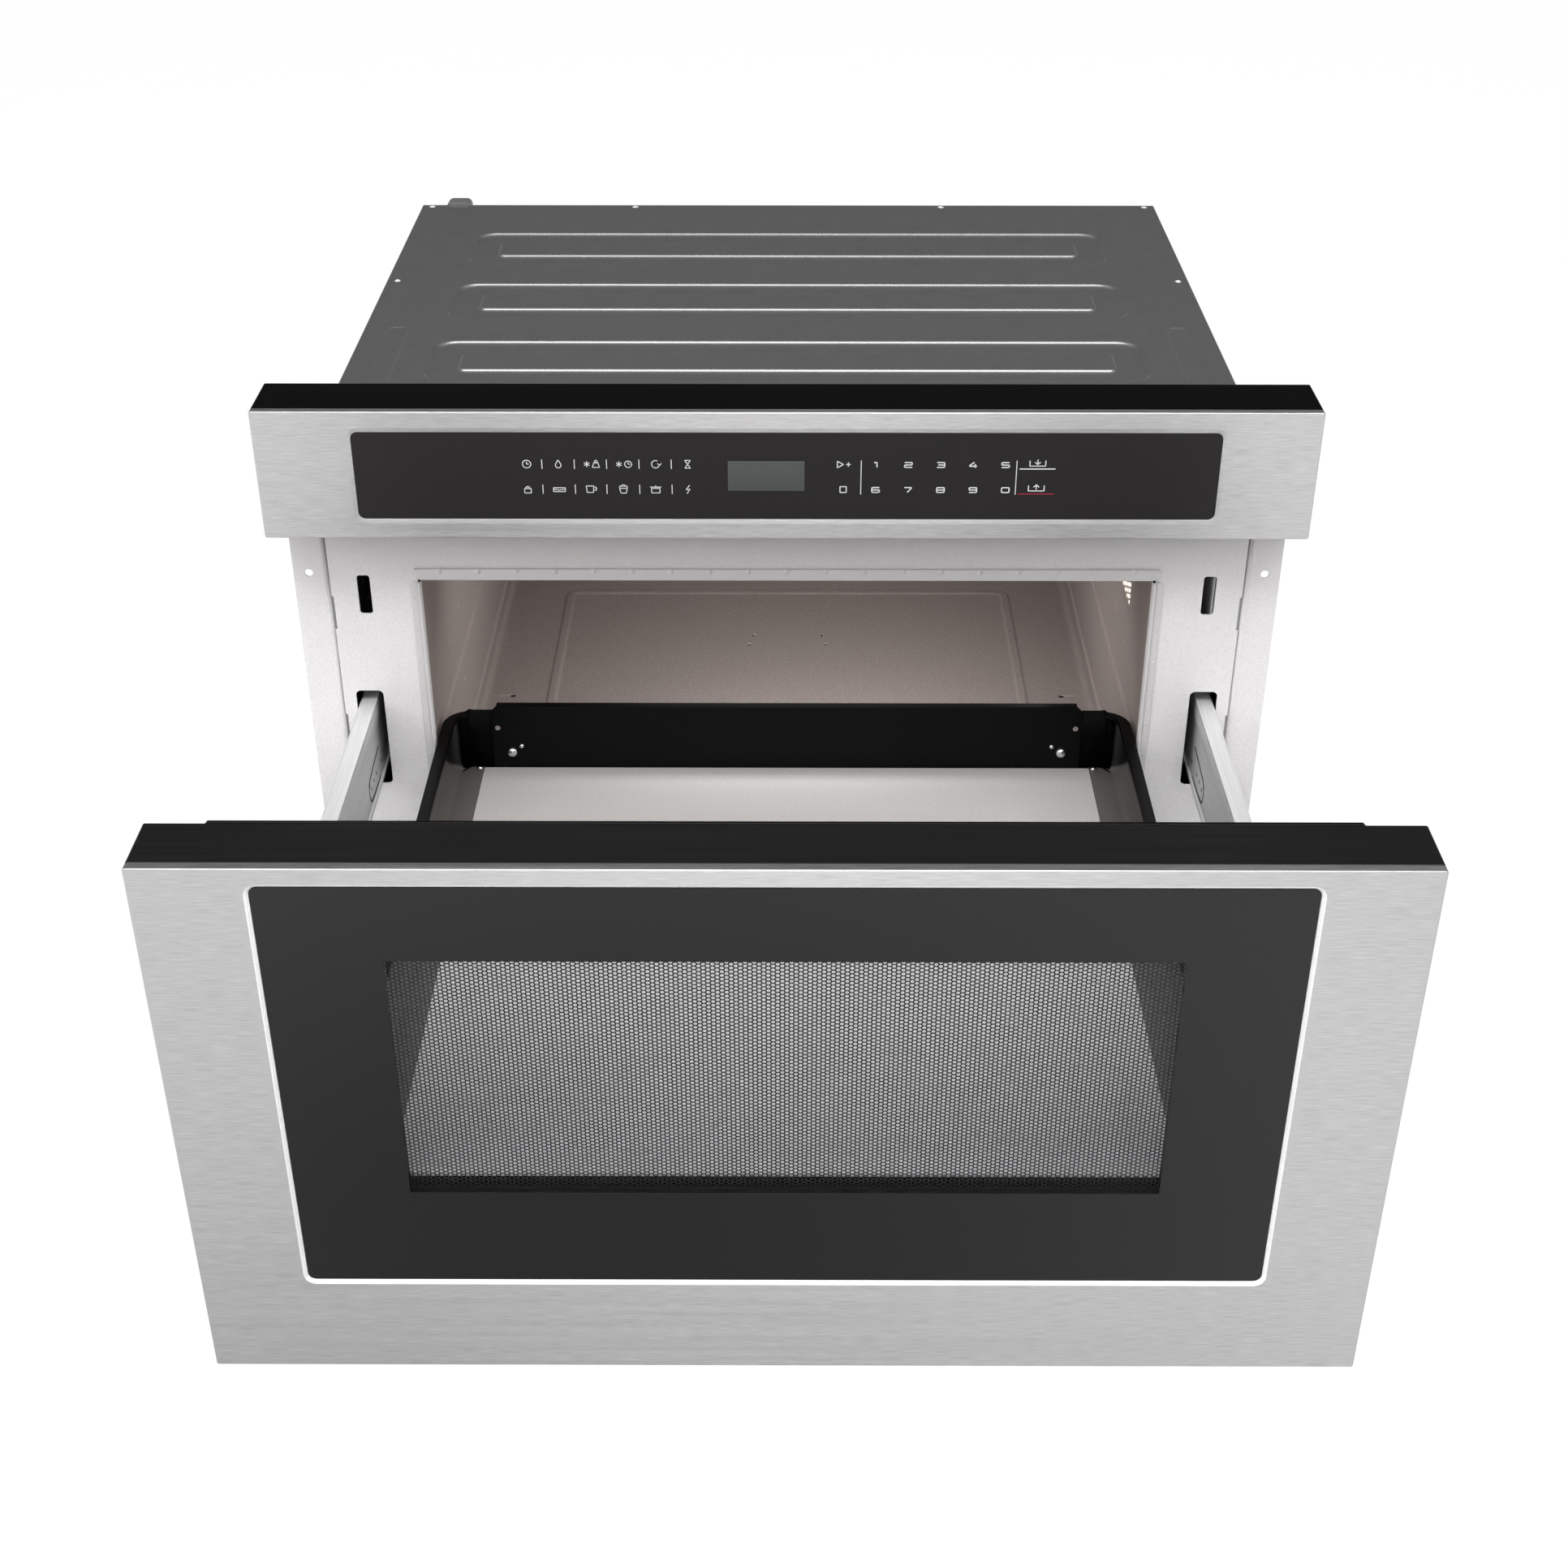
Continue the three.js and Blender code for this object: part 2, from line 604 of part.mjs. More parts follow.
// face of the body: cavity mouth, latch slots, slide slots and the slot that the rack runs through
function frontPlate() {
  const ys = [plateY - MOUTH_BEAD_HEIGHT - RUN, plateBack + RUN];
  const plate = joined(
    block([-bodyHalf, bodyHalf], [plateY, plateBack], [0, coverUnderZ - SEAT]),
    mouthBead(),
  );
  const mouth = block([-mouthHalf, mouthHalf], ys, [cavityFloorZ, mouthTopZ]);
  const rackHalf = RACK_WIDTH / 2 + 2 * RUN;
  const rackSlot = block([-rackHalf, rackHalf], ys, [rackPitchZ - TOOTH_MODULE * 2 - RUN, rackTopZ + 2 * RUN]);
  const openings = SIDES.flatMap(([, side]) => {
    const [slotLow, slotHigh] = sideSpan(side, slotFarX - SLOT_WIDTH, slotFarX);
    const slotZ = slideBottomZ - SLOT_BELOW_SLIDE;
    const [latchLow, latchHigh] = sideSpan(side, latchX - LATCH_SLOT_WIDTH / 2, latchX + LATCH_SLOT_WIDTH / 2);
    return [
      prismY(roundedOutline([slotLow, slotZ], [slotHigh, slotZ + SLOT_HEIGHT], SLOT_RADIUS), ...ys, 3),
      prismY(roundedOutline(
        [latchLow, latchSlotZ],
        [latchHigh, latchSlotZ + LATCH_SLOT_HEIGHT],
        LATCH_SLOT_RADIUS,
      ), ...ys, 3),
    ];
  });
  return cut(plate, mouth, rackSlot, ...openings);
}

// ---------- cavity ----------

// floor sheet with its embossed frame line and two small holes
function cavityFloor() {
  const sheet = block([-cavityHalf, cavityHalf], [cavityFrontY, cavityBackY], [cavityUnderZ, cavityFloorZ]);
  const half = FLOOR_FRAME_WIDTH / 2;
  const near = cavityFrontY + FLOOR_FRAME_FRONT_SPACE;
  const far = cavityBackY - FLOOR_FRAME_REAR_SPACE;
  const shape = roundedOutline([-half, near], [half, far], FLOOR_FRAME_RADIUS);
  shape.holes.push(roundedOutline(
    [-half + FLOOR_FRAME_LINE, near + FLOOR_FRAME_LINE],
    [half - FLOOR_FRAME_LINE, far - FLOOR_FRAME_LINE],
    FLOOR_FRAME_RADIUS - FLOOR_FRAME_LINE,
  ));
  const line = prismZ(shape, cavityUnderZ, cavityFloorZ + FLOOR_FRAME_PROUD);
  const holeY = cavityFrontY + FLOOR_HOLE_FROM_FRONT;
  const holeX = cavityHalf - FLOOR_HOLE_FROM_WALL;
  const holes = SIDES.map(([, side]) => rodZ(
    side * holeX, holeY, cavityUnderZ - RUN, cavityFloorZ + RUN, FLOOR_HOLE_RADIUS, 10,
  ));
  return cut(joined(sheet, line), ...holes);
}

const grilleFrontY = cavityFrontY + GRILLE_FROM_FRONT;
const grilleBottomZ = cavityFloorZ + GRILLE_ABOVE_FLOOR;

// side wall with two long beads; the right one has the lamp grille
function cavityWall(side) {
  const zs = [cavityUnderZ, ceilingTopZ];
  const near = cavityHalf + SEAT;
  const ribs = RIB_HEIGHTS.map((height) => block(
    sideSpan(side, near - RIB_PROUD, near + SHEET),
    [cavityFrontY + RIB_FRONT_SPACE, cavityBackY - RIB_REAR_SPACE],
    [cavityFloorZ + height, cavityFloorZ + height + RIB_WIDTH],
  ));
  const wall = joined(block(sideSpan(side, near, near + SHEET), [cavityFrontY, cavityBackY], zs), ...ribs);
  if (side < 0) {
    return wall;
  }
  const holes = [];
  for (let row = 0; row < GRILLE_ROWS; row += 1) {
    for (let column = 0; column < GRILLE_COLUMNS; column += 1) {
      const shift = row % 2 ? 0.25 : -0.25;
      const y = grilleFrontY + ((column + 0.5 + shift) * GRILLE_LENGTH) / GRILLE_COLUMNS;
      const z = grilleBottomZ + ((row + 0.5) * GRILLE_HEIGHT) / GRILLE_ROWS;
      holes.push(rodX(y, z, near - RUN, near + SHEET + RUN, GRILLE_HOLE_RADIUS, 6));
    }
  }
  return cut(wall, ...holes);
}

function cavityBack() {
  const half = cavityHalf + SEAT + SHEET;
  return block([-half, half], [cavityBackY + SEAT, cavityBackY + SEAT + SHEET], [cavityUnderZ, ceilingTopZ]);
}

const stirrerX = -cavityHalf + STIRRER_FROM_WALL;
const stirrerY = cavityFrontY + CAVITY_DEPTH / 2;
const wellHalf = STIRRER_WELL / 2;

// ceiling sheet, open under the stirrer
function cavityCeiling() {
  const sheet = block([-cavityHalf, cavityHalf], [cavityFrontY, cavityBackY], [cavityCeilingZ, ceilingTopZ]);
  const half = wellHalf - SHEET - SEAT;
  return cut(sheet, block(
    [stirrerX - half, stirrerX + half],
    [stirrerY - half, stirrerY + half],
    [cavityCeilingZ - RUN, ceilingTopZ + RUN],
  ));
}

// ---------- stirrer, waveguide and magnetron ----------

const wellTopZ = benchZ + STIRRER_WELL_HEIGHT;
const waveguideX = stirrerX + wellHalf + SEAT;
const portHalf = WAVEGUIDE_WIDTH / 2 - 2 * SHEET;
const portTopZ = benchZ + STIRRER_WELL_HEIGHT - 2 * SHEET;

// upturned box over the ceiling opening, with a port to the waveguide and a hole for the motor shaft
function stirrerHousing() {
  const xs = [stirrerX - wellHalf, stirrerX + wellHalf];
  const ys = [stirrerY - wellHalf, stirrerY + wellHalf];
  const inner = wellHalf - SHEET;
  return cut(
    block(xs, ys, [benchZ, wellTopZ]),
    block(
      [stirrerX - inner, stirrerX + inner],
      [stirrerY - inner, stirrerY + inner],
      [benchZ - RUN, wellTopZ - SHEET],
    ),
    block([stirrerX, waveguideX + RUN], [stirrerY - portHalf, stirrerY + portHalf], [benchZ - RUN, portTopZ]),
    rodZ(stirrerX, stirrerY, benchZ, wellTopZ + RUN, STIRRER_SHAFT_RADIUS + RUN, 12),
  );
}

// plate under the ceiling opening that lets microwaves through
function stirrerCover() {
  const half = wellHalf + STIRRER_COVER_LAP;
  return block(
    [stirrerX - half, stirrerX + half],
    [stirrerY - half, stirrerY + half],
    [cavityCeilingZ - SEAT - SHEET, cavityCeilingZ - SEAT],
  );
}

const stirrerShaftZ = benchZ + 8;

function stirrerMotor() {
  const bottom = wellTopZ + SEAT;
  return joined(
    rodZ(stirrerX, stirrerY, bottom, bottom + STIRRER_MOTOR_HEIGHT, STIRRER_MOTOR_RADIUS),
    block(
      [stirrerX - STIRRER_MOTOR_RADIUS - 10, stirrerX + STIRRER_MOTOR_RADIUS + 10],
      [stirrerY - 6, stirrerY + 6],
      [bottom, bottom + SHEET],
    ),
    rodZ(stirrerX, stirrerY, stirrerShaftZ, bottom + SHEET, STIRRER_SHAFT_RADIUS, 12),
  );
}

// flat metal blades around a hub, drawn about the shaft's axis
function stirrerBlade() {
  const hubLow = -STIRRER_HUB_LENGTH / 2;
  const hubTop = STIRRER_HUB_LENGTH / 2;
  const hub = rodZ(0, 0, hubLow, hubTop, STIRRER_SHAFT_RADIUS + STIRRER_HUB_WALL, 16);
  const blades = [];
  for (let index = 0; index < STIRRER_BLADES; index += 1) {
    const blade = block(
      [0, STIRRER_RADIUS],
      [-STIRRER_BLADE_WIDTH / 2, STIRRER_BLADE_WIDTH / 2],
      [-SHEET / 2, SHEET / 2],
    );
    blades.push(blade.rotate([0, 0, (index * 360) / STIRRER_BLADES]));
  }
  const bore = rodZ(0, 0, hubLow - RUN, hubTop + RUN, STIRRER_SHAFT_RADIUS + SEAT, 12);
  return cut(joined(hub, ...blades), bore);
}

const waveguideEnd = waveguideX + WAVEGUIDE_LENGTH;
const antennaX = waveguideEnd - MAGNETRON_WIDTH / 2;
const antennaZ = benchZ + WAVEGUIDE_HEIGHT / 2;
const guideFar = stirrerY + WAVEGUIDE_WIDTH / 2;

// duct from the magnetron to the stirrer housing
function waveguide() {
  const ys = [stirrerY - WAVEGUIDE_WIDTH / 2, guideFar];
  const inside = block(
    [waveguideX - RUN, waveguideEnd - SHEET],
    [ys[0] + SHEET, ys[1] - SHEET],
    [benchZ + SHEET, benchZ + WAVEGUIDE_HEIGHT - SHEET],
  );
  return cut(
    block([waveguideX, waveguideEnd], ys, [benchZ, benchZ + WAVEGUIDE_HEIGHT]),
    inside,
    rodY(antennaX, antennaZ, guideFar - 2 * SHEET, guideFar + RUN, ANTENNA_RADIUS + RUN, 16),
  );
}

// case with cooling fins and the antenna that reaches into the waveguide
function magnetron() {
  const front = guideFar + SEAT;
  const xs = [antennaX - MAGNETRON_WIDTH / 2, antennaX + MAGNETRON_WIDTH / 2];
  const zs = [benchZ, benchZ + MAGNETRON_HEIGHT];
  const plate = 3;
  const parts = [
    block(xs, [front, front + plate], zs),
    block(xs, [front + MAGNETRON_DEPTH - plate, front + MAGNETRON_DEPTH], zs),
    block(xs, [front, front + MAGNETRON_DEPTH], [zs[0], zs[0] + plate]),
    rodY(antennaX, antennaZ + 10, front, front + MAGNETRON_DEPTH, 19, 20),
    rodY(antennaX, antennaZ, front - ANTENNA_LENGTH, front + plate, ANTENNA_RADIUS, 16),
  ];
  for (let index = 0; index < MAGNETRON_FINS; index += 1) {
    const y = front + ((index + 1) * MAGNETRON_DEPTH) / (MAGNETRON_FINS + 1);
    parts.push(block([xs[0] + plate, xs[1] - plate], [y, y + SHEET], [zs[0] + plate, zs[1] - plate]));
  }
  return joined(...parts);
}

// ---------- power parts above the cavity ----------

function transformer() {
  const x0 = -cavityHalf + POWER_PARTS_FROM_WALL;
  const x1 = x0 + TRANSFORMER_WIDTH;
  const y1 = cavityBackY - TRANSFORMER_FROM_BACK;
  const y0 = y1 - TRANSFORMER_DEPTH;
  const core = block(
    [x0 + WINDING_FROM_CORE, x1 - WINDING_FROM_CORE],
    [y0, y1],
    [benchZ, benchZ + TRANSFORMER_HEIGHT],
  );
  const windings = block(
    [x0, x1],
    [y0 + WINDING_FROM_END, y1 - WINDING_FROM_END],
    [benchZ + WINDING_FROM_TOP, benchZ + TRANSFORMER_HEIGHT - WINDING_FROM_TOP],
  );
  const foot = block([x0, x1], [y0, y1], [benchZ, benchZ + SHEET]);
  return joined(core, windings, foot);
}

function capacitor() {
  const x0 = -cavityHalf + POWER_PARTS_FROM_WALL + TRANSFORMER_WIDTH + CAPACITOR_FROM_TRANSFORMER;
  const y1 = cavityBackY - CAPACITOR_FROM_BACK;
  const middleZ = benchZ + CAPACITOR_RADIUS;
  const can = rodX(y1 - CAPACITOR_RADIUS, middleZ, x0, x0 + CAPACITOR_LENGTH, CAPACITOR_RADIUS, 20);
  const strap = block(
    [x0 + STRAP_FROM_END, x0 + STRAP_FROM_END + STRAP_WIDTH],
    [y1 - 2 * CAPACITOR_RADIUS - STRAP_EAR, y1 + STRAP_EAR],
    [benchZ, benchZ + SHEET],
  );
  return joined(can, strap);
}

// printed board on four feet, with its filter coil, relays and a heat sink
function powerBoard() {
  const x0 = -cavityHalf + POWER_PARTS_FROM_WALL;
  const y0 = cavityFrontY + POWER_BOARD_FROM_FRONT;
  const x1 = x0 + POWER_BOARD_WIDTH;
  const y1 = y0 + POWER_BOARD_DEPTH;
  const under = benchZ + BOARD_FOOT;
  const top = under + SENSOR_BOARD;
  const parts = [block([x0, x1], [y0, y1], [under, top])];
  for (const x of [x0 + BOARD_EDGE / 2, x1 - BOARD_EDGE / 2]) {
    for (const y of [y0 + BOARD_EDGE / 2, y1 - BOARD_EDGE / 2]) {
      parts.push(rodZ(x, y, benchZ, top, BOARD_FOOT_RADIUS, 8));
    }
  }
  for (let index = 0; index < RELAYS; index += 1) {
    const x = x0 + BOARD_EDGE + index * RELAY_PITCH;
    parts.push(block(
      [x, x + RELAY_WIDTH],
      [y1 - BOARD_EDGE - RELAY_DEPTH, y1 - BOARD_EDGE],
      [under, top + RELAY_HEIGHT],
    ));
  }
  parts.push(rodZ(x0 + COIL_FROM_SIDE, y0 + COIL_FROM_FRONT, under, top + COIL_HEIGHT, COIL_RADIUS, 16));
  parts.push(block(
    [x1 - BOARD_EDGE - HEAT_SINK_WIDTH, x1 - BOARD_EDGE],
    [y0 + BOARD_EDGE, y0 + BOARD_EDGE + HEAT_SINK_LENGTH],
    [under, top + HEAT_SINK_HEIGHT],
  ));
  return joined(...parts);
}

const fanRearY = rearY - SHEET - SEAT;
const fanFrontY = fanRearY - FAN_DEPTH - 4;

// square duct around the fan, with two bars that carry the motor
function fanShroud() {
  const half = FAN_SHROUD_WIDTH / 2;
  const zs = [benchZ, coverUnderZ - BEAD_SINK - SEAT - RUN];
  const duct = cut(
    block([fanX - half, fanX + half], [fanFrontY, fanRearY], zs),
    rodY(fanX, fanZ, fanFrontY - RUN, fanRearY + RUN, FAN_RADIUS + 2 * RUN, 32),
  );
  const bars = [-10, 10].map((z) => block(
    [fanX - half, fanX + half],
    [fanFrontY - 4, fanFrontY],
    [fanZ + z - 3, fanZ + z + 3],
  ));
  return joined(duct, ...bars);
}

function fanMotor() {
  const front = fanFrontY - 4 - SEAT - FAN_MOTOR_LENGTH;
  return joined(
    rodY(fanX, fanZ, front, front + FAN_MOTOR_LENGTH, FAN_MOTOR_RADIUS),
    rodY(fanX, fanZ, front, fanFrontY + 12, FAN_SHAFT_RADIUS, 12),
  );
}

// hub and tilted blades, drawn about the fan's axis
function fanImpeller() {
  const hubEnd = FAN_HUB_LENGTH / 2;
  const hub = rodY(0, 0, -hubEnd, hubEnd, FAN_HUB_RADIUS, 20);
  const blades = [];
  for (let index = 0; index < FAN_BLADES; index += 1) {
    const blade = block(
      [-FAN_BLADE_THICK / 2, FAN_BLADE_THICK / 2],
      [-FAN_BLADE_CHORD / 2, FAN_BLADE_CHORD / 2],
      [0, FAN_RADIUS],
    ).rotate([0, 0, 38]);
    blades.push(blade.rotate([0, (index * 360) / FAN_BLADES, 0]));
  }
  const swept = rodY(0, 0, -hubEnd, hubEnd, FAN_RADIUS, 32);
  const bore = rodY(0, 0, -hubEnd - RUN, hubEnd + RUN, FAN_SHAFT_RADIUS + SEAT, 12);
  return cut(joined(hub, ...blades).intersect(swept), bore);
}

// box outside the right cavity wall that lights the cavity through the grille
function cavityLamp() {
  const near = cavityHalf + SEAT + SHEET + SEAT;
  const margin = 4;
  return joined(
    block(
      [near, near + LAMP_DEPTH],
      [grilleFrontY - margin, grilleFrontY + GRILLE_LENGTH + margin],
      [grilleBottomZ - margin, grilleBottomZ + GRILLE_HEIGHT + margin],
    ),
    rodX(
      grilleFrontY + GRILLE_LENGTH / 2, grilleBottomZ + GRILLE_HEIGHT / 2,
      near, near + LAMP_DEPTH + 8, 9, 16,
    ),
  );
}

// ---------- folded steel fronts ----------

// steel face with folded edges and a rounded opening with a pressed bevel
function foldedSkin(bottomZ, topZ, glass) {
  const half = frontHalf;
  const outer = block([-half, half], [frontY, skinBackY], [bottomZ, topZ]);
  const hollow = block(
    [-half + SKIN, half - SKIN],
    [frontY + SKIN, skinBackY + RUN],
    [bottomZ + SKIN, topZ - SKIN],
  );
  const hole = roundedOutline([-glass.half, glass.bottom], [glass.half, glass.top], glass.radius);
  const bevel = roundedOutline(
    [-glass.half - SKIN_BEVEL, glass.bottom - SKIN_BEVEL],
    [glass.half + SKIN_BEVEL, glass.top + SKIN_BEVEL],
    glass.radius + SKIN_BEVEL,
  );
  return cut(
    outer,
    hollow,
    prismY(hole, frontY - RUN, skinBackY),
    prismY(bevel, frontY - RUN, frontY + SKIN / 2),
  );
}

function glassPlate(glass) {
  const shape = roundedOutline(
    [-glass.half + SEAT, glass.bottom + SEAT],
    [glass.half - SEAT, glass.top - SEAT],
    glass.radius - SEAT,
  );
  const front = frontY + GLASS_RECESS;
  return prismY(shape, front, front + GLASS);
}

const fasciaGlass = {
  half: frontHalf - FASCIA_GLASS_SIDE,
  bottom: fasciaBottomZ + FASCIA_GLASS_BOTTOM,
  top: fasciaTopZ - FASCIA_GLASS_TOP,
  radius: FASCIA_GLASS_RADIUS,
};
const doorGlass = {
  half: frontHalf - DOOR_GLASS_SIDE,
  bottom: doorBottomZ + DOOR_GLASS_BOTTOM,
  top: doorTopZ - DOOR_GLASS_TOP,
  radius: DOOR_GLASS_RADIUS,
};
const glassBackY = frontY + GLASS_RECESS + GLASS;
const boardFrontY = glassBackY + SEAT;
const boardBackY = boardFrontY + SENSOR_BOARD;
const boardHalf = fasciaGlass.half - BOARD_MARGIN;
const boardZs = [fasciaGlass.bottom + BOARD_MARGIN, fasciaGlass.top - BOARD_MARGIN];
const displayZ = (fasciaGlass.bottom + fasciaGlass.top) / 2;

// black box behind the fascia skin, open to the front, with posts for the control board
function fasciaFrame() {
  const half = frontHalf;
  const rear = plateY - SEAT;
  const box = cut(
    block([-half, half], [frameFrontY, rear], [fasciaBottomZ, fasciaTopZ]),
    block(
      [-half + FRAME_WALL, half - FRAME_WALL],
      [frameFrontY - RUN, rear - FRAME_WALL],
      [fasciaBottomZ + FRAME_WALL, fasciaTopZ - FRAME_WALL],
    ),
  );
  const posts = SIDES.flatMap(([, side]) => POSTS_FROM_MIDDLE.map((x) => block(
    [side * x - POST_SIZE / 2, side * x + POST_SIZE / 2],
    [boardBackY + SEAT, rear],
    [displayZ - POST_SIZE / 2, displayZ + POST_SIZE / 2],
  )));
  const cableZ = fasciaBottomZ + FASCIA_HEIGHT / 3;
  const cable = rodY(0, cableZ, rear - 2 * FRAME_WALL, rear + RUN, FASCIA_CABLE_HOLE, 16);
  return cut(joined(box, ...posts), cable);
}

// touch board behind the control glass, with a window for the display
function controlBoard() {
  const hole = block(
    [DISPLAY_OFFSET - DISPLAY_WIDTH / 2 - SEAT, DISPLAY_OFFSET + DISPLAY_WIDTH / 2 + SEAT],
    [boardFrontY - RUN, boardBackY + RUN],
    [displayZ - DISPLAY_HEIGHT / 2 - SEAT, displayZ + DISPLAY_HEIGHT / 2 + SEAT],
  );
  return cut(block([-boardHalf, boardHalf], [boardFrontY, boardBackY], boardZs), hole);
}

function displayModule() {
  return block(
    [DISPLAY_OFFSET - DISPLAY_WIDTH / 2, DISPLAY_OFFSET + DISPLAY_WIDTH / 2],
    [boardFrontY, boardFrontY + DISPLAY_THICK],
    [displayZ - DISPLAY_HEIGHT / 2, displayZ + DISPLAY_HEIGHT / 2],
  );
}

// ---------- drawer front ----------

const windowBottomZ = doorBottomZ + WINDOW_BOTTOM;
const windowTopZ = windowBottomZ + WINDOW_HEIGHT;

// black frame behind the drawer's skin: front wall with the window, and walls all round
function doorFrame() {
  const half = frontHalf;
  const rear = frontY + DRAWER_FRONT_DEPTH;
  return cut(
    block([-half, half], [frameFrontY, rear], [doorBottomZ, doorTopZ]),
    block(
      [-half + FRAME_WALL, half - FRAME_WALL],
      [frameFrontY + FRAME_WALL, rear + RUN],
      [doorBottomZ + FRAME_WALL, doorTopZ - FRAME_WALL],
    ),
    block(
      [-WINDOW_SIDE - RUN, WINDOW_SIDE + RUN],
      [frameFrontY - RUN, screenY],
      [windowBottomZ - RUN, windowTopZ + RUN],
    ),
  );
}

function perforatedScreen() {
  const half = chokeHalf + CHOKE_WALL + SCREEN_LAP;
  return block(
    [-half, half],
    [screenY, screenY + SCREEN],
    [chokeBottomZ - CHOKE_WALL - SCREEN_LAP, chokeTopZ + CHOKE_WALL + SCREEN_LAP],
  );
}

// square tunnel from the screen to the choke cover
function chokeFrame() {
  const ys = [chokeFrontY, frontY + DRAWER_FRONT_DEPTH];
  const half = chokeHalf + CHOKE_WALL;
  return cut(
    block([-half, half], ys, [chokeBottomZ - CHOKE_WALL, chokeTopZ + CHOKE_WALL]),
    block([-chokeHalf, chokeHalf], [ys[0] - RUN, ys[1] + RUN], [chokeBottomZ, chokeTopZ]),
  );
}

// flat ring that closes the choke behind the drawer front
function chokeCover() {
  const half = CHOKE_COVER_WIDTH / 2;
  const ys = [doorRearY - CHOKE_COVER, doorRearY];
  return cut(
    block([-half, half], ys, [doorBottomZ, doorTopZ]),
    block([-chokeHalf, chokeHalf], [ys[0] - RUN, ys[1] + RUN], [chokeBottomZ, chokeTopZ]),
  );
}

// ---------- drawer body ----------

const trayHalf = panHalf - LEDGE_WIDTH - SEAT;

// plan of the pan: square in front, round corners behind
function panOutline(inset, radius, rearInset = inset) {
  const half = panHalf - inset;
  const rear = panRearY - rearInset;
  const shape = new THREE.Shape();
  shape.moveTo(-half, panFrontY);
  shape.lineTo(half, panFrontY);
  shape.lineTo(half, rear - radius);
  shape.absarc(half - radius, rear - radius, radius, 0, Math.PI / 2, false);
  shape.lineTo(-half + radius, rear);
  shape.absarc(-half + radius, rear - radius, radius, Math.PI / 2, Math.PI, false);
  return shape;
}

// deep-drawn pan with a stepped floor, an inward rim, and a rear wall that is open behind the back plate
function drawerPan() {
  const whole = prismZ(panOutline(0, PAN_CORNER), panBottomZ, panRimZ, 6);
  const hollow = prismZ(panOutline(SHEET, PAN_CORNER - SHEET), ledgeZ, panRimZ + RUN, 6);
  const front = block(
    [-panHalf + SHEET, panHalf - SHEET],
    [panFrontY - RUN, panFrontY + SHEET],
    [ledgeZ, panRimZ + RUN],
  );
  const rim = cut(
    prismZ(panOutline(0, PAN_CORNER), panRimZ - SHEET, panRimZ, 6),
    prismZ(panOutline(RIM_WIDTH, PAN_CORNER - RIM_REAR, RIM_REAR), panRimZ - 2 * SHEET, panRimZ + RUN, 6),
    block([-panHalf + RIM_WIDTH, panHalf - RIM_WIDTH], [panFrontY - RUN, panFrontY + RUN], [panBottomZ, panRimZ + RUN]),
  );
  const step = block(
    [-trayHalf - SEAT, trayHalf + SEAT],
    [panFrontY + PAN_FRONT_RAIL, panRearY - SHEET],
    [panBottomZ + SHEET, ledgeZ + RUN],
  );
  const underLedge = SIDES.map(([, side]) => block(
    sideSpan(side, trayHalf + SEAT + SHEET, panHalf + RUN),
    [panFrontY - RUN, panRearY + RUN],
    [panBottomZ - RUN, ledgeZ - SHEET],
  ));
  const rearGap = block(
    [-trayHalf + REAR_RETURN, trayHalf - REAR_RETURN],
    [panRearY - SHEET - RUN, panRearY + RUN],
    [ledgeZ, panRimZ + RUN],
  );
  const pan = cut(whole, hollow, front, step, ...underLedge);
  return cut(joined(pan, rim), rearGap, ...backHoles());
}

const backPlateY = panRearY - SHEET - 2 * SEAT - 2 * SHEET; // face of the back plate
const holeZ = panBottomZ + BACK_HOLE_ABOVE_PAN;

function backHoles() {
  return SIDES.map(([, side]) => rodY(
    (side * BACK_HOLE_SPACING) / 2, holeZ, backPlateY - RUN, panRearY + RUN, BACK_HOLE_RADIUS, 12,
  ));
}

function tray() {
  const bottom = panBottomZ + SHEET + SEAT;
  const trayFrontY = panFrontY + PAN_FRONT_RAIL + SEAT;
  return block([-trayHalf, trayHalf], [trayFrontY, backPlateY - SEAT], [bottom, bottom + TRAY_THICK]);
}

const backPlateTopZ = panRimZ + BACK_PLATE_RISE;
const screwZ = panBottomZ + DOME_SCREW_ABOVE_PAN;

// back of the drawer: upright plate with a return over the rear wall, its upper corners cut off
function drawerBack() {
  const half = BACK_PLATE_WIDTH / 2;
  const bottom = ledgeZ + SEAT;
  const face = outline([
    [-half, bottom],
    [half, bottom],
    [half, backPlateTopZ - BACK_PLATE_CHAMFER],
    [half - BACK_PLATE_CHAMFER, backPlateTopZ],
    [-half + BACK_PLATE_CHAMFER, backPlateTopZ],
    [-half, backPlateTopZ - BACK_PLATE_CHAMFER],
  ]);
  const plate = joined(
    prismY(face, backPlateY, backPlateY + SHEET),
    block(
      [-half + BACK_PLATE_CHAMFER, half - BACK_PLATE_CHAMFER],
      [backPlateY, backPlateY + BACK_PLATE_RETURN],
      [backPlateTopZ - SHEET, backPlateTopZ],
    ),
  );
  return cut(plate, ...backHoles());
}

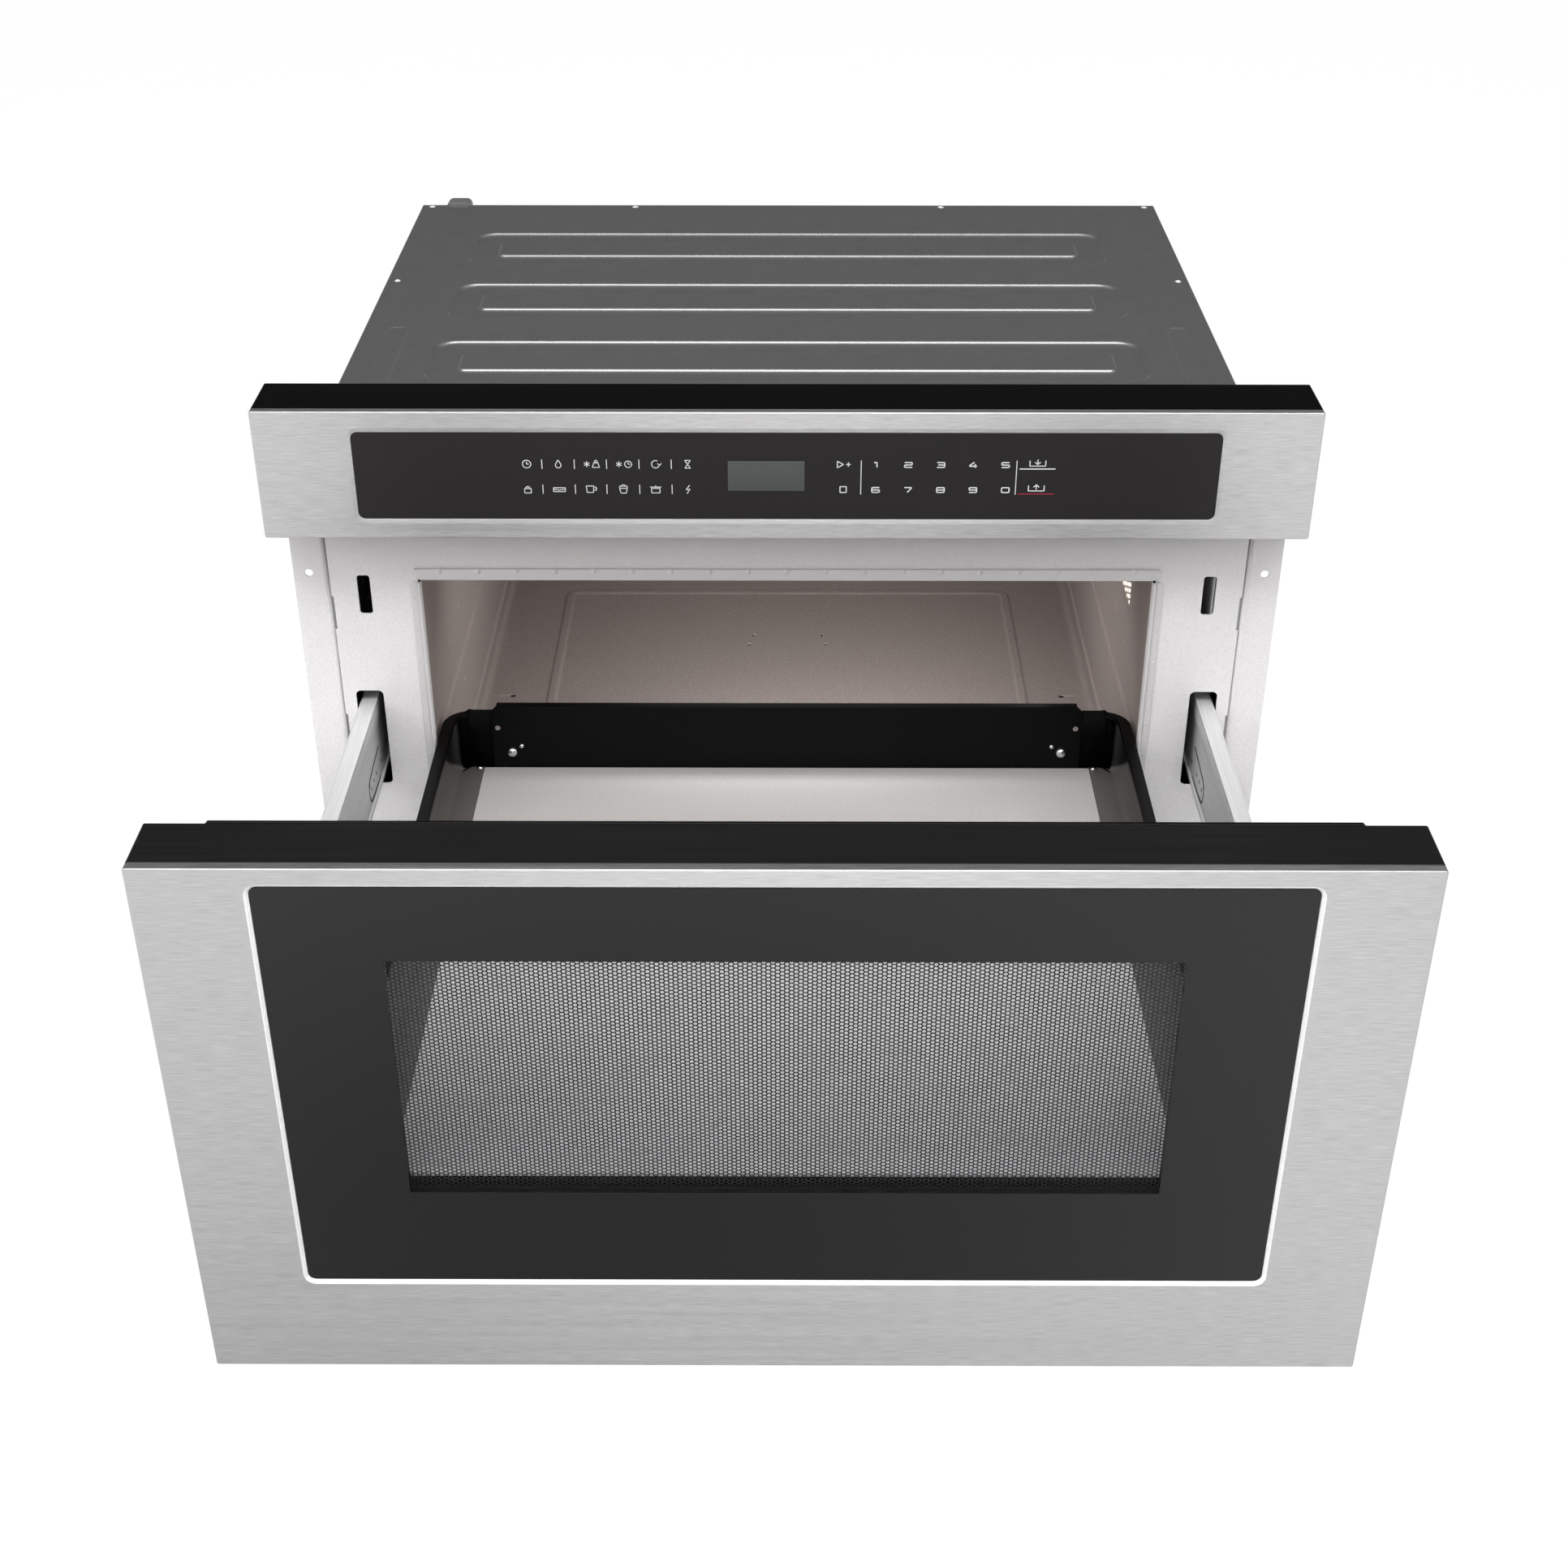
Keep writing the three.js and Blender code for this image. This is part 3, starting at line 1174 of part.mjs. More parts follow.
// sheet bent along the inside of a rear corner of the pan, behind the end of the back plate
function cornerBracket(side) {
  const inset = SHEET + SEAT;
  const corner = PAN_CORNER - inset;
  const band = cut(
    prismZ(panOutline(inset, corner), ledgeZ + SEAT, panRimZ + BRACKET_RISE, 6),
    prismZ(panOutline(inset + SHEET, corner - SHEET), ledgeZ, panRimZ + BRACKET_RISE + RUN, 6),
  );
  const keep = block(
    sideSpan(side, panHalf - inset - BRACKET_REAR, panHalf),
    [panRearY - BRACKET_SIDE, panRearY],
    [ledgeZ, panRimZ + BRACKET_RISE + RUN],
  );
  const underRim = cut(
    prismZ(panOutline(0, PAN_CORNER), panRimZ - SHEET - SEAT, panRimZ + BRACKET_RISE + RUN, 6),
    prismZ(
      panOutline(RIM_WIDTH + SEAT, PAN_CORNER - RIM_REAR - SEAT, RIM_REAR + SEAT),
      panRimZ - 2 * SHEET, panRimZ + BRACKET_RISE + 2 * RUN, 6,
    ),
  );
  return cut(band.intersect(keep), underRim, ...backHoles());
}

// dome head and a short shank through the back plate, drawn about the screw's axis
function domeScrew() {
  const head = toSolid(new THREE.SphereGeometry(DOME_SCREW_RADIUS, 12, 8)).intersect(
    block([-9, 9], [-9, 0], [-9, 9]),
  );
  return head;
}

// ---------- slides ----------

const outerZs = [slideBottomZ - SEAT - SLIDE_STEEL, slideTopZ + SEAT + SLIDE_STEEL];

// fixed member: channel open to the cavity, on three spacers on the side panel
function slideOuter(side) {
  const y0 = plateBack + SEAT;
  const ys = [y0, y0 + OUTER_LENGTH];
  const near = slideMiddleNearX - SEAT;
  const web = block(sideSpan(side, slideOuterWebX - SLIDE_STEEL, slideOuterWebX), ys, outerZs);
  const flanges = [
    [outerZs[0], outerZs[0] + SLIDE_STEEL],
    [outerZs[1] - SLIDE_STEEL, outerZs[1]],
  ].map((zs) => block(sideSpan(side, near, slideOuterWebX), ys, zs));
  const middle = (outerZs[0] + outerZs[1]) / 2;
  const spacers = [0, 1, 2].map((index) => {
    const start = y0 + (index * (OUTER_LENGTH - SLIDE_BRACKET_LENGTH)) / 2;
    return block(
      sideSpan(side, slideOuterWebX - SLIDE_STEEL, slideOuterWebX + SLIDE_BRACKET),
      [start, start + SLIDE_BRACKET_LENGTH],
      [middle - 12, middle + 12],
    );
  });
  return joined(web, ...flanges, ...spacers);
}

// middle member: channel whose lips hold the inner member
function slideMiddle(side) {
  const y0 = plateBack + 2 * SEAT;
  const ys = [y0, y0 + MIDDLE_LENGTH];
  const near = slideMiddleNearX;
  const far = slideMiddleFarX;
  return joined(
    block(sideSpan(side, far - SLIDE_STEEL, far), ys, [slideBottomZ, slideTopZ]),
    block(sideSpan(side, near, far), ys, [slideTopZ - SLIDE_STEEL, slideTopZ]),
    block(sideSpan(side, near, far), ys, [slideBottomZ, slideBottomZ + SLIDE_STEEL]),
    block(sideSpan(side, near, near + SLIDE_STEEL), ys, [slideTopZ - SLIDE_LIP, slideTopZ]),
    block(sideSpan(side, near, near + SLIDE_STEEL), ys, [slideBottomZ, slideBottomZ + SLIDE_LOWER_LIP]),
  );
}

// inner member: channel inside the middle one, fixed to the drawer front
function slideInner(side) {
  const ys = [doorRearY + SEAT, doorRearY + SEAT + INNER_LENGTH];
  const near = slideMiddleNearX + SLIDE_STEEL + SEAT;
  const far = slideMiddleFarX - SLIDE_STEEL - SEAT;
  const bottom = slideBottomZ + SLIDE_STEEL + SEAT;
  const top = slideTopZ - SLIDE_STEEL - SEAT;
  return joined(
    block(sideSpan(side, near, near + SLIDE_STEEL), ys, [bottom, top]),
    block(sideSpan(side, near, far), ys, [top - SLIDE_STEEL, top]),
    block(sideSpan(side, near, far), ys, [bottom, bottom + SLIDE_STEEL]),
  );
}

// ---------- latches ----------

// flat hook that enters the latch slot when the drawer shuts
function latchHook(side) {
  const y0 = doorRearY + SEAT;
  const y1 = y0 + HOOK_LENGTH;
  const z0 = latchSlotZ + (LATCH_SLOT_HEIGHT - HOOK_HEIGHT) / 2;
  const z1 = z0 + HOOK_HEIGHT;
  const shape = outline([
    [y0, z0],
    [y1 - 2 * HOOK_NOTCH, z0 + HOOK_NOTCH],
    [y1 - HOOK_NOTCH, z0 + HOOK_NOTCH],
    [y1 - HOOK_NOTCH, z0],
    [y1, z0 + HOOK_NOTCH],
    [y1 - HOOK_NOTCH / 2, z1],
    [y0, z1],
  ]);
  return prismX(shape, ...sideSpan(side, latchX - HOOK_THICK / 2, latchX + HOOK_THICK / 2));
}

// switch on the side panel, beside the path of the hook
function interlockSwitch(side) {
  const near = latchX + LATCH_SLOT_WIDTH / 2 + RUN;
  const z0 = latchSlotZ + (LATCH_SLOT_HEIGHT - SWITCH_HEIGHT) / 2;
  const y0 = plateBack + SEAT;
  const lever = block(
    sideSpan(side, near - RUN, near + RUN),
    [y0 + SWITCH_DEPTH / 2, y0 + SWITCH_DEPTH],
    [z0 + SWITCH_HEIGHT / 2 - 2, z0 + SWITCH_HEIGHT / 2 + 2],
  );
  const body = block(
    sideSpan(side, near, panelInner - SEAT),
    [y0, y0 + SWITCH_DEPTH],
    [z0, z0 + SWITCH_HEIGHT],
  );
  return joined(body, lever);
}

// ---------- drive ----------

const toothPitch = Math.PI * TOOTH_MODULE;
const flankSlope = Math.tan((20 * Math.PI) / 180);

// straight-sided teeth along the underside of a bar
function driveRack() {
  const y0 = doorRearY + SEAT;
  const y1 = y0 + RACK_LENGTH;
  const rootZ = rackPitchZ + TOOTH_MODULE * 1.25;
  const tipZ = rackPitchZ - TOOTH_MODULE;
  const halfAtPitch = (toothPitch - GEAR_BACKLASH) / 4;
  const halfRoot = halfAtPitch + (rootZ - rackPitchZ) * flankSlope;
  const halfTip = halfAtPitch - (rackPitchZ - tipZ) * flankSlope;
  const points = [[y1, rackTopZ], [y0, rackTopZ], [y0, rootZ]];
  const meshY = pinionY + OPEN_TRAVEL; // a tooth here is over the pinion when the drawer is out
  const first = Math.ceil((y0 + halfRoot - meshY) / toothPitch);
  const last = Math.floor((y1 - halfRoot - meshY) / toothPitch);
  for (let index = first; index <= last; index += 1) {
    const y = meshY + index * toothPitch;
    points.push([y - halfRoot, rootZ], [y - halfTip, tipZ], [y + halfTip, tipZ], [y + halfRoot, rootZ]);
  }
  points.push([y1, rootZ]);
  return prismX(outline(points), -RACK_WIDTH / 2, RACK_WIDTH / 2);
}

// involute half thickness of a pinion tooth at a radius, as an angle
function toothHalfAngle(radius) {
  const pressure = (20 * Math.PI) / 180;
  const involute = (angle) => Math.tan(angle) - angle;
  const base = pinionPitchRadius * Math.cos(pressure);
  const atRadius = Math.acos(Math.min(1, base / radius));
  const atPitch = (toothPitch - GEAR_BACKLASH) / 4 / pinionPitchRadius;
  return atPitch + involute(pressure) - involute(atRadius);
}

// spur pinion drawn about its own axis, one gap upwards towards the rack's middle tooth
function drivePinion() {
  const base = pinionPitchRadius * Math.cos((20 * Math.PI) / 180);
  const root = pinionPitchRadius - TOOTH_MODULE * 1.25;
  const tip = pinionPitchRadius + TOOTH_MODULE;
  const radii = [root, base, (base + tip) / 2, tip];
  const points = [];
  for (let index = 0; index < PINION_TEETH; index += 1) {
    const middle = Math.PI / 2 + ((index + 0.5) * 2 * Math.PI) / PINION_TEETH;
    const flank = (radius, sign) => {
      const angle = middle + sign * toothHalfAngle(Math.max(radius, base));
      points.push([radius * Math.cos(angle), radius * Math.sin(angle)]);
    };
    radii.forEach((radius) => flank(radius, -1));
    [...radii].reverse().forEach((radius) => flank(radius, 1));
  }
  const wheel = prismX(outline(points), -PINION_WIDTH / 2, PINION_WIDTH / 2);
  return cut(wheel, rodX(0, 0, -PINION_WIDTH, PINION_WIDTH, DRIVE_SHAFT_RADIUS + SEAT, 16));
}

// gear motor on the base pan, its shaft through the pinion
function driveMotor() {
  const x0 = PINION_WIDTH / 2 + RUN;
  const x1 = x0 + GEARBOX_WIDTH;
  const y0 = pinionY - GEARBOX_DEPTH / 2;
  const y1 = pinionY + GEARBOX_DEPTH / 2;
  const bottom = SHEET + SEAT;
  const top = Math.max(pinionZ + DRIVE_SHAFT_RADIUS * 2, bottom + 2 * DRIVE_MOTOR_RADIUS);
  const motorZ = bottom + DRIVE_MOTOR_RADIUS;
  return joined(
    block([x0, x1], [y0, y1], [bottom, top]),
    rodX(pinionY, motorZ, x1 - RUN, x1 + DRIVE_MOTOR_LENGTH, DRIVE_MOTOR_RADIUS),
    rodX(pinionY, pinionZ, -PINION_WIDTH, x1 - RUN, DRIVE_SHAFT_RADIUS, 16),
  );
}

// ---------- everything in its place ----------

place(drawerUnit, 'base_pan', basePan(), galvanised);
place(drawerUnit, 'top_cover', topCover(), galvanised);
place(drawerUnit, 'rear_panel', rearPanel(), galvanised);
place(drawerUnit, 'front_plate', frontPlate(), whiteEnamel);
place(drawerUnit, 'cord_inlet', cordInlet(), galvanised);
place(drawerUnit, 'cavity_floor', cavityFloor(), cavityEnamel);
place(drawerUnit, 'cavity_ceiling', cavityCeiling(), cavityEnamel);
place(drawerUnit, 'cavity_back', cavityBack(), cavityEnamel);
place(drawerUnit, 'stirrer_housing', stirrerHousing(), galvanised);
place(drawerUnit, 'stirrer_cover', stirrerCover(), palePlastic);
place(drawerUnit, 'stirrer_motor', stirrerMotor(), darkPlastic);
place(drawerUnit, 'stirrer_blade', stirrerBlade(), aluminium, [stirrerX, stirrerY, stirrerShaftZ + 5]);
place(drawerUnit, 'waveguide', waveguide(), galvanised);
place(drawerUnit, 'magnetron', magnetron(), aluminium);
place(drawerUnit, 'transformer', transformer(), copperWinding);
place(drawerUnit, 'capacitor', capacitor(), aluminium);
place(drawerUnit, 'power_board', powerBoard(), greenBoard);
place(drawerUnit, 'fan_shroud', fanShroud(), darkPlastic);
place(drawerUnit, 'fan_motor', fanMotor(), darkPlastic);
place(drawerUnit, 'fan_impeller', fanImpeller(), palePlastic, [fanX, (fanFrontY + fanRearY) / 2 + 1, fanZ]);
place(drawerUnit, 'cavity_lamp', cavityLamp(), palePlastic);
place(drawerUnit, 'fascia_skin', foldedSkin(fasciaBottomZ, fasciaTopZ, fasciaGlass), brushedSteel);
place(drawerUnit, 'fascia_frame', fasciaFrame(), blackPaint);
place(drawerUnit, 'control_glass', glassPlate(fasciaGlass), blackGlass);
place(drawerUnit, 'control_board', controlBoard(), greenBoard);
place(drawerUnit, 'display_module', displayModule(), greyDisplay);
place(drawerUnit, 'drive_motor', driveMotor(), darkPlastic);
place(drawerUnit, 'drive_pinion', drivePinion(), palePlastic, [0, pinionY, pinionZ]);

place(drawer, 'door_skin', foldedSkin(doorBottomZ, doorTopZ, doorGlass), brushedSteel);
place(drawer, 'door_glass', glassPlate(doorGlass), blackGlass);
place(drawer, 'door_frame', doorFrame(), blackPaint);
place(drawer, 'perforated_screen', perforatedScreen(), blackPaint);
place(drawer, 'choke_frame', chokeFrame(), blackPaint);
place(drawer, 'choke_cover', chokeCover(), blackPaint);
place(drawer, 'drawer_pan', drawerPan(), blackPaint);
place(drawer, 'tray', tray(), ceramic);
place(drawer, 'drawer_back', drawerBack(), blackPaint);
place(drawer, 'drive_rack', driveRack(), palePlastic);

for (const [name, side] of SIDES) {
  place(drawerUnit, `side_panel_${name}`, sidePanel(side), galvanised);
  place(drawerUnit, `mounting_flange_${name}`, mountingFlange(side), whiteEnamel);
  place(drawerUnit, `cavity_wall_${name}`, cavityWall(side), cavityEnamel);
  place(drawerUnit, `slide_outer_${name}`, slideOuter(side), slideSteel);
  place(drawerUnit, `interlock_switch_${name}`, interlockSwitch(side), darkPlastic);
  place(middleMembers, `slide_middle_${name}`, slideMiddle(side), slideSteel);
  place(drawer, `slide_inner_${name}`, slideInner(side), slideSteel);
  place(drawer, `latch_hook_${name}`, latchHook(side), palePlastic);
  place(drawer, `corner_bracket_${name}`, cornerBracket(side), blackPaint);
  const screwAt = [(side * DOME_SCREW_SPACING) / 2, backPlateY - SEAT, screwZ];
  place(drawer, `dome_screw_${name}`, domeScrew(), screwSteel, screwAt);
}

export default drawerUnit;
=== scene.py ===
import math

import bpy
import numpy as np
from mathutils import Matrix
from mathutils.geometry import delaunay_2d_cdt


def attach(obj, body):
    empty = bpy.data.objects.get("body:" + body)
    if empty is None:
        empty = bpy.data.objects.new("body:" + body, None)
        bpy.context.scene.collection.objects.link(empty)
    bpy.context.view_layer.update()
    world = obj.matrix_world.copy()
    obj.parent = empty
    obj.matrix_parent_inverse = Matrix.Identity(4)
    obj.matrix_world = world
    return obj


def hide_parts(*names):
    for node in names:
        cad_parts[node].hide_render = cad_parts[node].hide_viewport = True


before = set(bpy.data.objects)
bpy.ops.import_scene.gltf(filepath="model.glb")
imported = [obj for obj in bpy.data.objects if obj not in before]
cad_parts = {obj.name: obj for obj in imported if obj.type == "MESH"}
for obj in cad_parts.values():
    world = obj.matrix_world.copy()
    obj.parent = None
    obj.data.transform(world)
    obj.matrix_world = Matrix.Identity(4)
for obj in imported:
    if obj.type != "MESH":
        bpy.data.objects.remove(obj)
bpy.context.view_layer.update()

# Camera. The object is looked at from the front and above with a normal lens; place, turn and focal length
# were fitted to the straight edges of the object.
scene = bpy.context.scene
CAMERA_PLACE = (0.00252, -1.42024, 0.87959)
CAMERA_YAW = math.radians(-0.1957)
CAMERA_PITCH = math.radians(31.9058)
FOCAL_LENGTH_PIXELS = 2682.42
PHOTO_PIXELS = 1932
SENSOR_MM = 36.0
forward = np.array([
    math.sin(CAMERA_YAW) * math.cos(CAMERA_PITCH),
    math.cos(CAMERA_YAW) * math.cos(CAMERA_PITCH),
    -math.sin(CAMERA_PITCH),
])
right = np.array([math.cos(CAMERA_YAW), -math.sin(CAMERA_YAW), 0.0])
upward = np.cross(right, forward)
camera_data = bpy.data.cameras.new("camera")
camera_data.sensor_width = SENSOR_MM
camera_data.lens = SENSOR_MM * FOCAL_LENGTH_PIXELS / PHOTO_PIXELS
camera_data.clip_end = 50.0
camera = bpy.data.objects.new("camera", camera_data)
turn = np.eye(4)
turn[:3, 0], turn[:3, 1], turn[:3, 2], turn[:3, 3] = right, upward, -forward, CAMERA_PLACE
camera.matrix_world = Matrix(turn.tolist())
scene.collection.objects.link(camera)
scene.camera = camera
scene.view_settings.view_transform = "Standard"


# Studio. A pale floor under the object, a graded sky and soft lamps. The floor is white to the camera, to
# metal and to glass, with a trace of the object's shadow; the sky is white to the camera alone.
def linear(hex_colour):
    """sRGB hex to linear RGBA: the low part is a straight line and the rest a power of 2.4."""
    levels = np.array([int(hex_colour[i:i + 2], 16) for i in (1, 3, 5)]) / 255
    low, high = levels / 12.92, ((levels + 0.055) / 1.055) ** 2.4
    return (*np.where(levels <= 0.04045, low, high).tolist(), 1.0)


def put(tree, kind, inputs=None, **settings):
    """Adds a shader node; settings are its own values, inputs its sockets' values or other nodes' outputs."""
    node = tree.nodes.new(kind)
    for name, value in settings.items():
        setattr(node, name, value)
    for name, value in (inputs or {}).items():
        if isinstance(value, bpy.types.NodeSocket):
            tree.links.new(value, node.inputs[name])
        else:
            node.inputs[name].default_value = value
    return node


def maths(tree, operation, *values):
    """Result of one operation on numbers or other nodes' outputs."""
    return put(tree, "ShaderNodeMath", dict(enumerate(values)), operation=operation).outputs[0]


def ramp(tree, value, low, high, to_low=0.0, to_high=1.0, smooth=False):
    """Output of a Map Range node from low and high to two other values, level at both ends if smooth."""
    ends = {"Value": value, "From Min": low, "From Max": high, "To Min": to_low, "To Max": to_high}
    kind = "SMOOTHSTEP" if smooth else "LINEAR"
    return put(tree, "ShaderNodeMapRange", ends, interpolation_type=kind).outputs[0]


FLOOR_HALF = 9.0
SHADOW_SHARE_SEEN = 0.10
SHADOW_SHARE_MIRRORED = 0.20
SHADE_MIDDLE = (-0.12, -0.60, 0.0)
SHADE_REACH = 0.66
SHADE_DEPTH = 0.34
SHADE_BRIGHT = 1.2
floor_mesh = bpy.data.meshes.new("floor")
floor_mesh.from_pydata(
    [(x, y, -0.0004) for x, y in ((-1, -1), (1, -1), (1, 1), (-1, 1))], [], [(0, 1, 2, 3)],
)
floor_mesh.transform(Matrix.Diagonal((FLOOR_HALF, FLOOR_HALF, 1, 1)))
floor = bpy.data.objects.new("studio_floor", floor_mesh)
scene.collection.objects.link(floor)
paper = bpy.data.materials.new("white studio paper")
paper.use_nodes = True
tree = paper.node_tree
tree.nodes.clear()
matt = put(tree, "ShaderNodeBsdfDiffuse", {"Color": linear("#f4f4f4")})
rays = put(tree, "ShaderNodeLightPath").outputs
# painted shade: the paper near the object's front is drawn a little darker where metal and glass mirror it
spot = put(tree, "ShaderNodeTexCoord").outputs["Object"]
away = put(tree, "ShaderNodeVectorMath", {0: spot, 1: SHADE_MIDDLE}, operation="DISTANCE").outputs["Value"]
shade = ramp(tree, away, 0.05, SHADE_REACH, SHADE_DEPTH, SHADE_BRIGHT, smooth=True)
glow = put(tree, "ShaderNodeMix", {0: rays["Is Camera Ray"], 2: shade, 3: 1.06}, data_type="FLOAT")
white = put(tree, "ShaderNodeEmission", {"Color": (1, 1, 1, 1), "Strength": glow.outputs[0]})
mirrored_rays = maths(tree, "MAXIMUM", rays["Is Glossy Ray"], rays["Is Transmission Ray"])
mirrored_share = maths(tree, "MULTIPLY", mirrored_rays, 1 - SHADOW_SHARE_MIRRORED)
seen_share = maths(tree, "MULTIPLY", rays["Is Camera Ray"], 1 - SHADOW_SHARE_SEEN)
share = maths(tree, "MAXIMUM", mirrored_share, seen_share)
both = put(tree, "ShaderNodeMixShader", {0: share, 1: matt.outputs[0], 2: white.outputs[0]})
put(tree, "ShaderNodeOutputMaterial", {"Surface": both.outputs[0]})
floor_mesh.materials.append(paper)

world = bpy.data.worlds.new("studio")
scene.world = world
world.use_nodes = True
tree = world.node_tree
tree.nodes.clear()
way = put(tree, "ShaderNodeTexCoord").outputs["Generated"]
parts = put(tree, "ShaderNodeSeparateXYZ", {0: way}).outputs
sky = put(tree, "ShaderNodeValToRGB", {0: parts["Z"]})
sky.color_ramp.interpolation = "EASE"
for _ in range(2):
    sky.color_ramp.elements.new(0.5)
SKY_GREYS = ((0.0, 0.60), (0.26, 0.04), (0.60, 0.05), (1.0, 0.70))  # height towards straight up, and its grey
for stop, (height, grey) in zip(sky.color_ramp.elements, SKY_GREYS):
    stop.position = height
    stop.color = (grey, grey, grey, 1)
front_share = ramp(tree, parts["Y"], 0.1, -0.5)
front_sky = (0.56, 0.56, 0.56, 1)
studio_light = put(
    tree, "ShaderNodeMix", {0: front_share, 6: sky.outputs["Color"], 7: front_sky}, data_type="RGBA",
)
lit = put(tree, "ShaderNodeBackground", {"Color": studio_light.outputs[2], "Strength": 0.75})
pale = put(tree, "ShaderNodeBackground", {"Color": (1, 1, 1, 1), "Strength": 1.05})
rays = put(tree, "ShaderNodeLightPath").outputs
both = put(tree, "ShaderNodeMixShader", {0: rays["Is Camera Ray"], 1: lit.outputs[0], 2: pale.outputs[0]})
put(tree, "ShaderNodeOutputWorld", {"Surface": both.outputs[0]})


def softbox(name, place, target, size, watts):
    """Rectangular lamp at a place, turned so that its face looks at the target."""
    data = bpy.data.lights.new(name, "AREA")
    data.shape = "RECTANGLE"
    data.size, data.size_y = size
    data.energy = watts
    lamp = bpy.data.objects.new(name, data)
    away = np.array(place, float) - np.array(target, float)
    away /= np.linalg.norm(away)
    side = np.cross((0.0, 1.0, 0.0) if abs(away[2]) > 0.95 else (0.0, 0.0, 1.0), away)
    side /= np.linalg.norm(side)
    matrix = np.eye(4)
    matrix[:3, 0], matrix[:3, 1], matrix[:3, 2], matrix[:3, 3] = side, np.cross(away, side), away, place
    lamp.matrix_world = Matrix(matrix.tolist())
    scene.collection.objects.link(lamp)


softbox("overhead_softbox", (0.0, -1.15, 2.3), (0.0, -0.3, 0.2), (2.2, 1.4), 48)
softbox("front_softbox", (0.0, -3.0, 1.5), (0.0, -0.2, 0.2), (2.4, 1.0), 12)
softbox("low_front_softbox", (0.0, -2.4, 0.10), (0.0, -0.5, 0.25), (0.7, 0.5), 4)
softbox("left_softbox", (-2.2, -1.9, 1.3), (0.0, -0.4, 0.2), (1.4, 1.6), 24)
softbox("right_softbox", (2.3, -1.1, 1.6), (0.0, -0.4, 0.2), (1.4, 1.6), 14.5)


# Top cover. Galvanised steel sheet about 1 mm thick, pressed with three ring beads and two side beads that
# keep it from drumming, and screwed down through holes at its edges.
MM = 0.001
DRAWER_OUT = 326.66
BODY_OUT = {"drawer": DRAWER_OUT, "middle_slides": DRAWER_OUT / 2}  # how far each body stands out at rest


def material(name, colour, metallic=0.0, roughness=0.5, **sockets):
    """A named Principled surface in one colour; returns the material, its node tree and its shader."""
    made = bpy.data.materials.new(name)
    made.use_nodes = True
    tree = made.node_tree
    shader = tree.nodes["Principled BSDF"]
    shader.inputs["Base Color"].default_value = linear(colour)
    shader.inputs["Metallic"].default_value = metallic
    shader.inputs["Roughness"].default_value = roughness
    for socket, value in sockets.items():
        shader.inputs[socket.replace("_", " ")].default_value = value
    return made, tree, shader


def object_noise(tree, size_mm, detail=2.0, stretch=(1, 1, 1)):
    """Noise on Object coordinates whose grains are size_mm across, longer along an axis by its stretch."""
    place = put(tree, "ShaderNodeTexCoord").outputs["Object"]
    scale = [1 / (size_mm * MM * s) for s in stretch]
    grain = put(tree, "ShaderNodeMapping", {"Vector": place, "Scale": scale})
    return put(tree, "ShaderNodeTexNoise", {"Vector": grain.outputs[0], "Scale": 1.0, "Detail": detail})


def blend(tree, shader, share, low, high):
    """Two colours, each hex or another node's output, mixed by a share into the base colour."""
    low, high = (linear(colour) if isinstance(colour, str) else colour for colour in (low, high))
    mix = put(tree, "ShaderNodeMix", {0: share, 6: low, 7: high}, data_type="RGBA")
    tree.links.new(mix.outputs[2], shader.inputs["Base Color"])
    return mix.outputs[2]


def roughen(tree, shader, noise, strength, height_mm):
    """Bump from a noise whose hills are height_mm high."""
    hills = {"Height": noise.outputs["Fac"], "Strength": strength, "Distance": height_mm * MM}
    tree.links.new(put(tree, "ShaderNodeBump", hills).outputs[0], shader.inputs["Normal"])


def piece(name, shape, surface, body, stands_for=(), crease=35.0):
    """A mesh object from a shape's points in millimetres and its faces, moved out with its body; edges
    sharper than crease degrees stay sharp."""
    points, faces = shape
    points = (np.asarray(points, float) - [0, BODY_OUT.get(body, 0), 0]) * MM
    mesh = bpy.data.meshes.new(name)
    mesh.from_pydata(points.tolist(), [], [list(map(int, f)) for f in faces])
    mesh.validate()
    mesh.update()
    mesh.shade_smooth()
    mesh.set_sharp_from_angle(angle=math.radians(crease))
    made = bpy.data.objects.new(name, mesh)
    mesh.materials.append(surface)
    scene.collection.objects.link(made)
    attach(made, body)
    if stands_for:
        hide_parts(*stands_for)
    return made


def quads(rows, columns, around=False, keep=None):
    """Quads of a grid of points, row by row; around also joins the last column to the first."""
    r, c = np.meshgrid(np.arange(rows - 1), np.arange(columns if around else columns - 1), indexing="ij")
    after = (c + 1) % columns
    cells = np.stack(
        [r * columns + c, r * columns + after, (r + 1) * columns + after, (r + 1) * columns + c], axis=-1,
    ).reshape(-1, 4)
    return cells if keep is None else cells[keep.reshape(-1)]


def thicken(made, thickness_mm):
    """Gives a single sheet its wall, on the back of its faces."""
    wall = made.modifiers.new("wall", "SOLIDIFY")
    wall.thickness = thickness_mm * MM
    wall.offset = -1.0
    return made


def lines_near(low, high, spots, fine, coarse, reach):
    """Grid lines from low to high: fine steps near a spot, and coarse ones elsewhere that pass no spot."""
    steps = [low]
    while steps[-1] < high:
        near = min((abs(steps[-1] - s) for s in spots), default=1e9)
        steps.append(steps[-1] + (fine if near <= max(reach + coarse / 2, coarse) else coarse))
    lines = np.array(steps)
    return low + (lines - low) * (high - low) / (lines[-1] - low)


def ease(share):
    """0 to 1 with level ends: 3t^2 - 2t^3."""
    t = np.clip(share, 0, 1)
    return t * t * (3 - 2 * t)


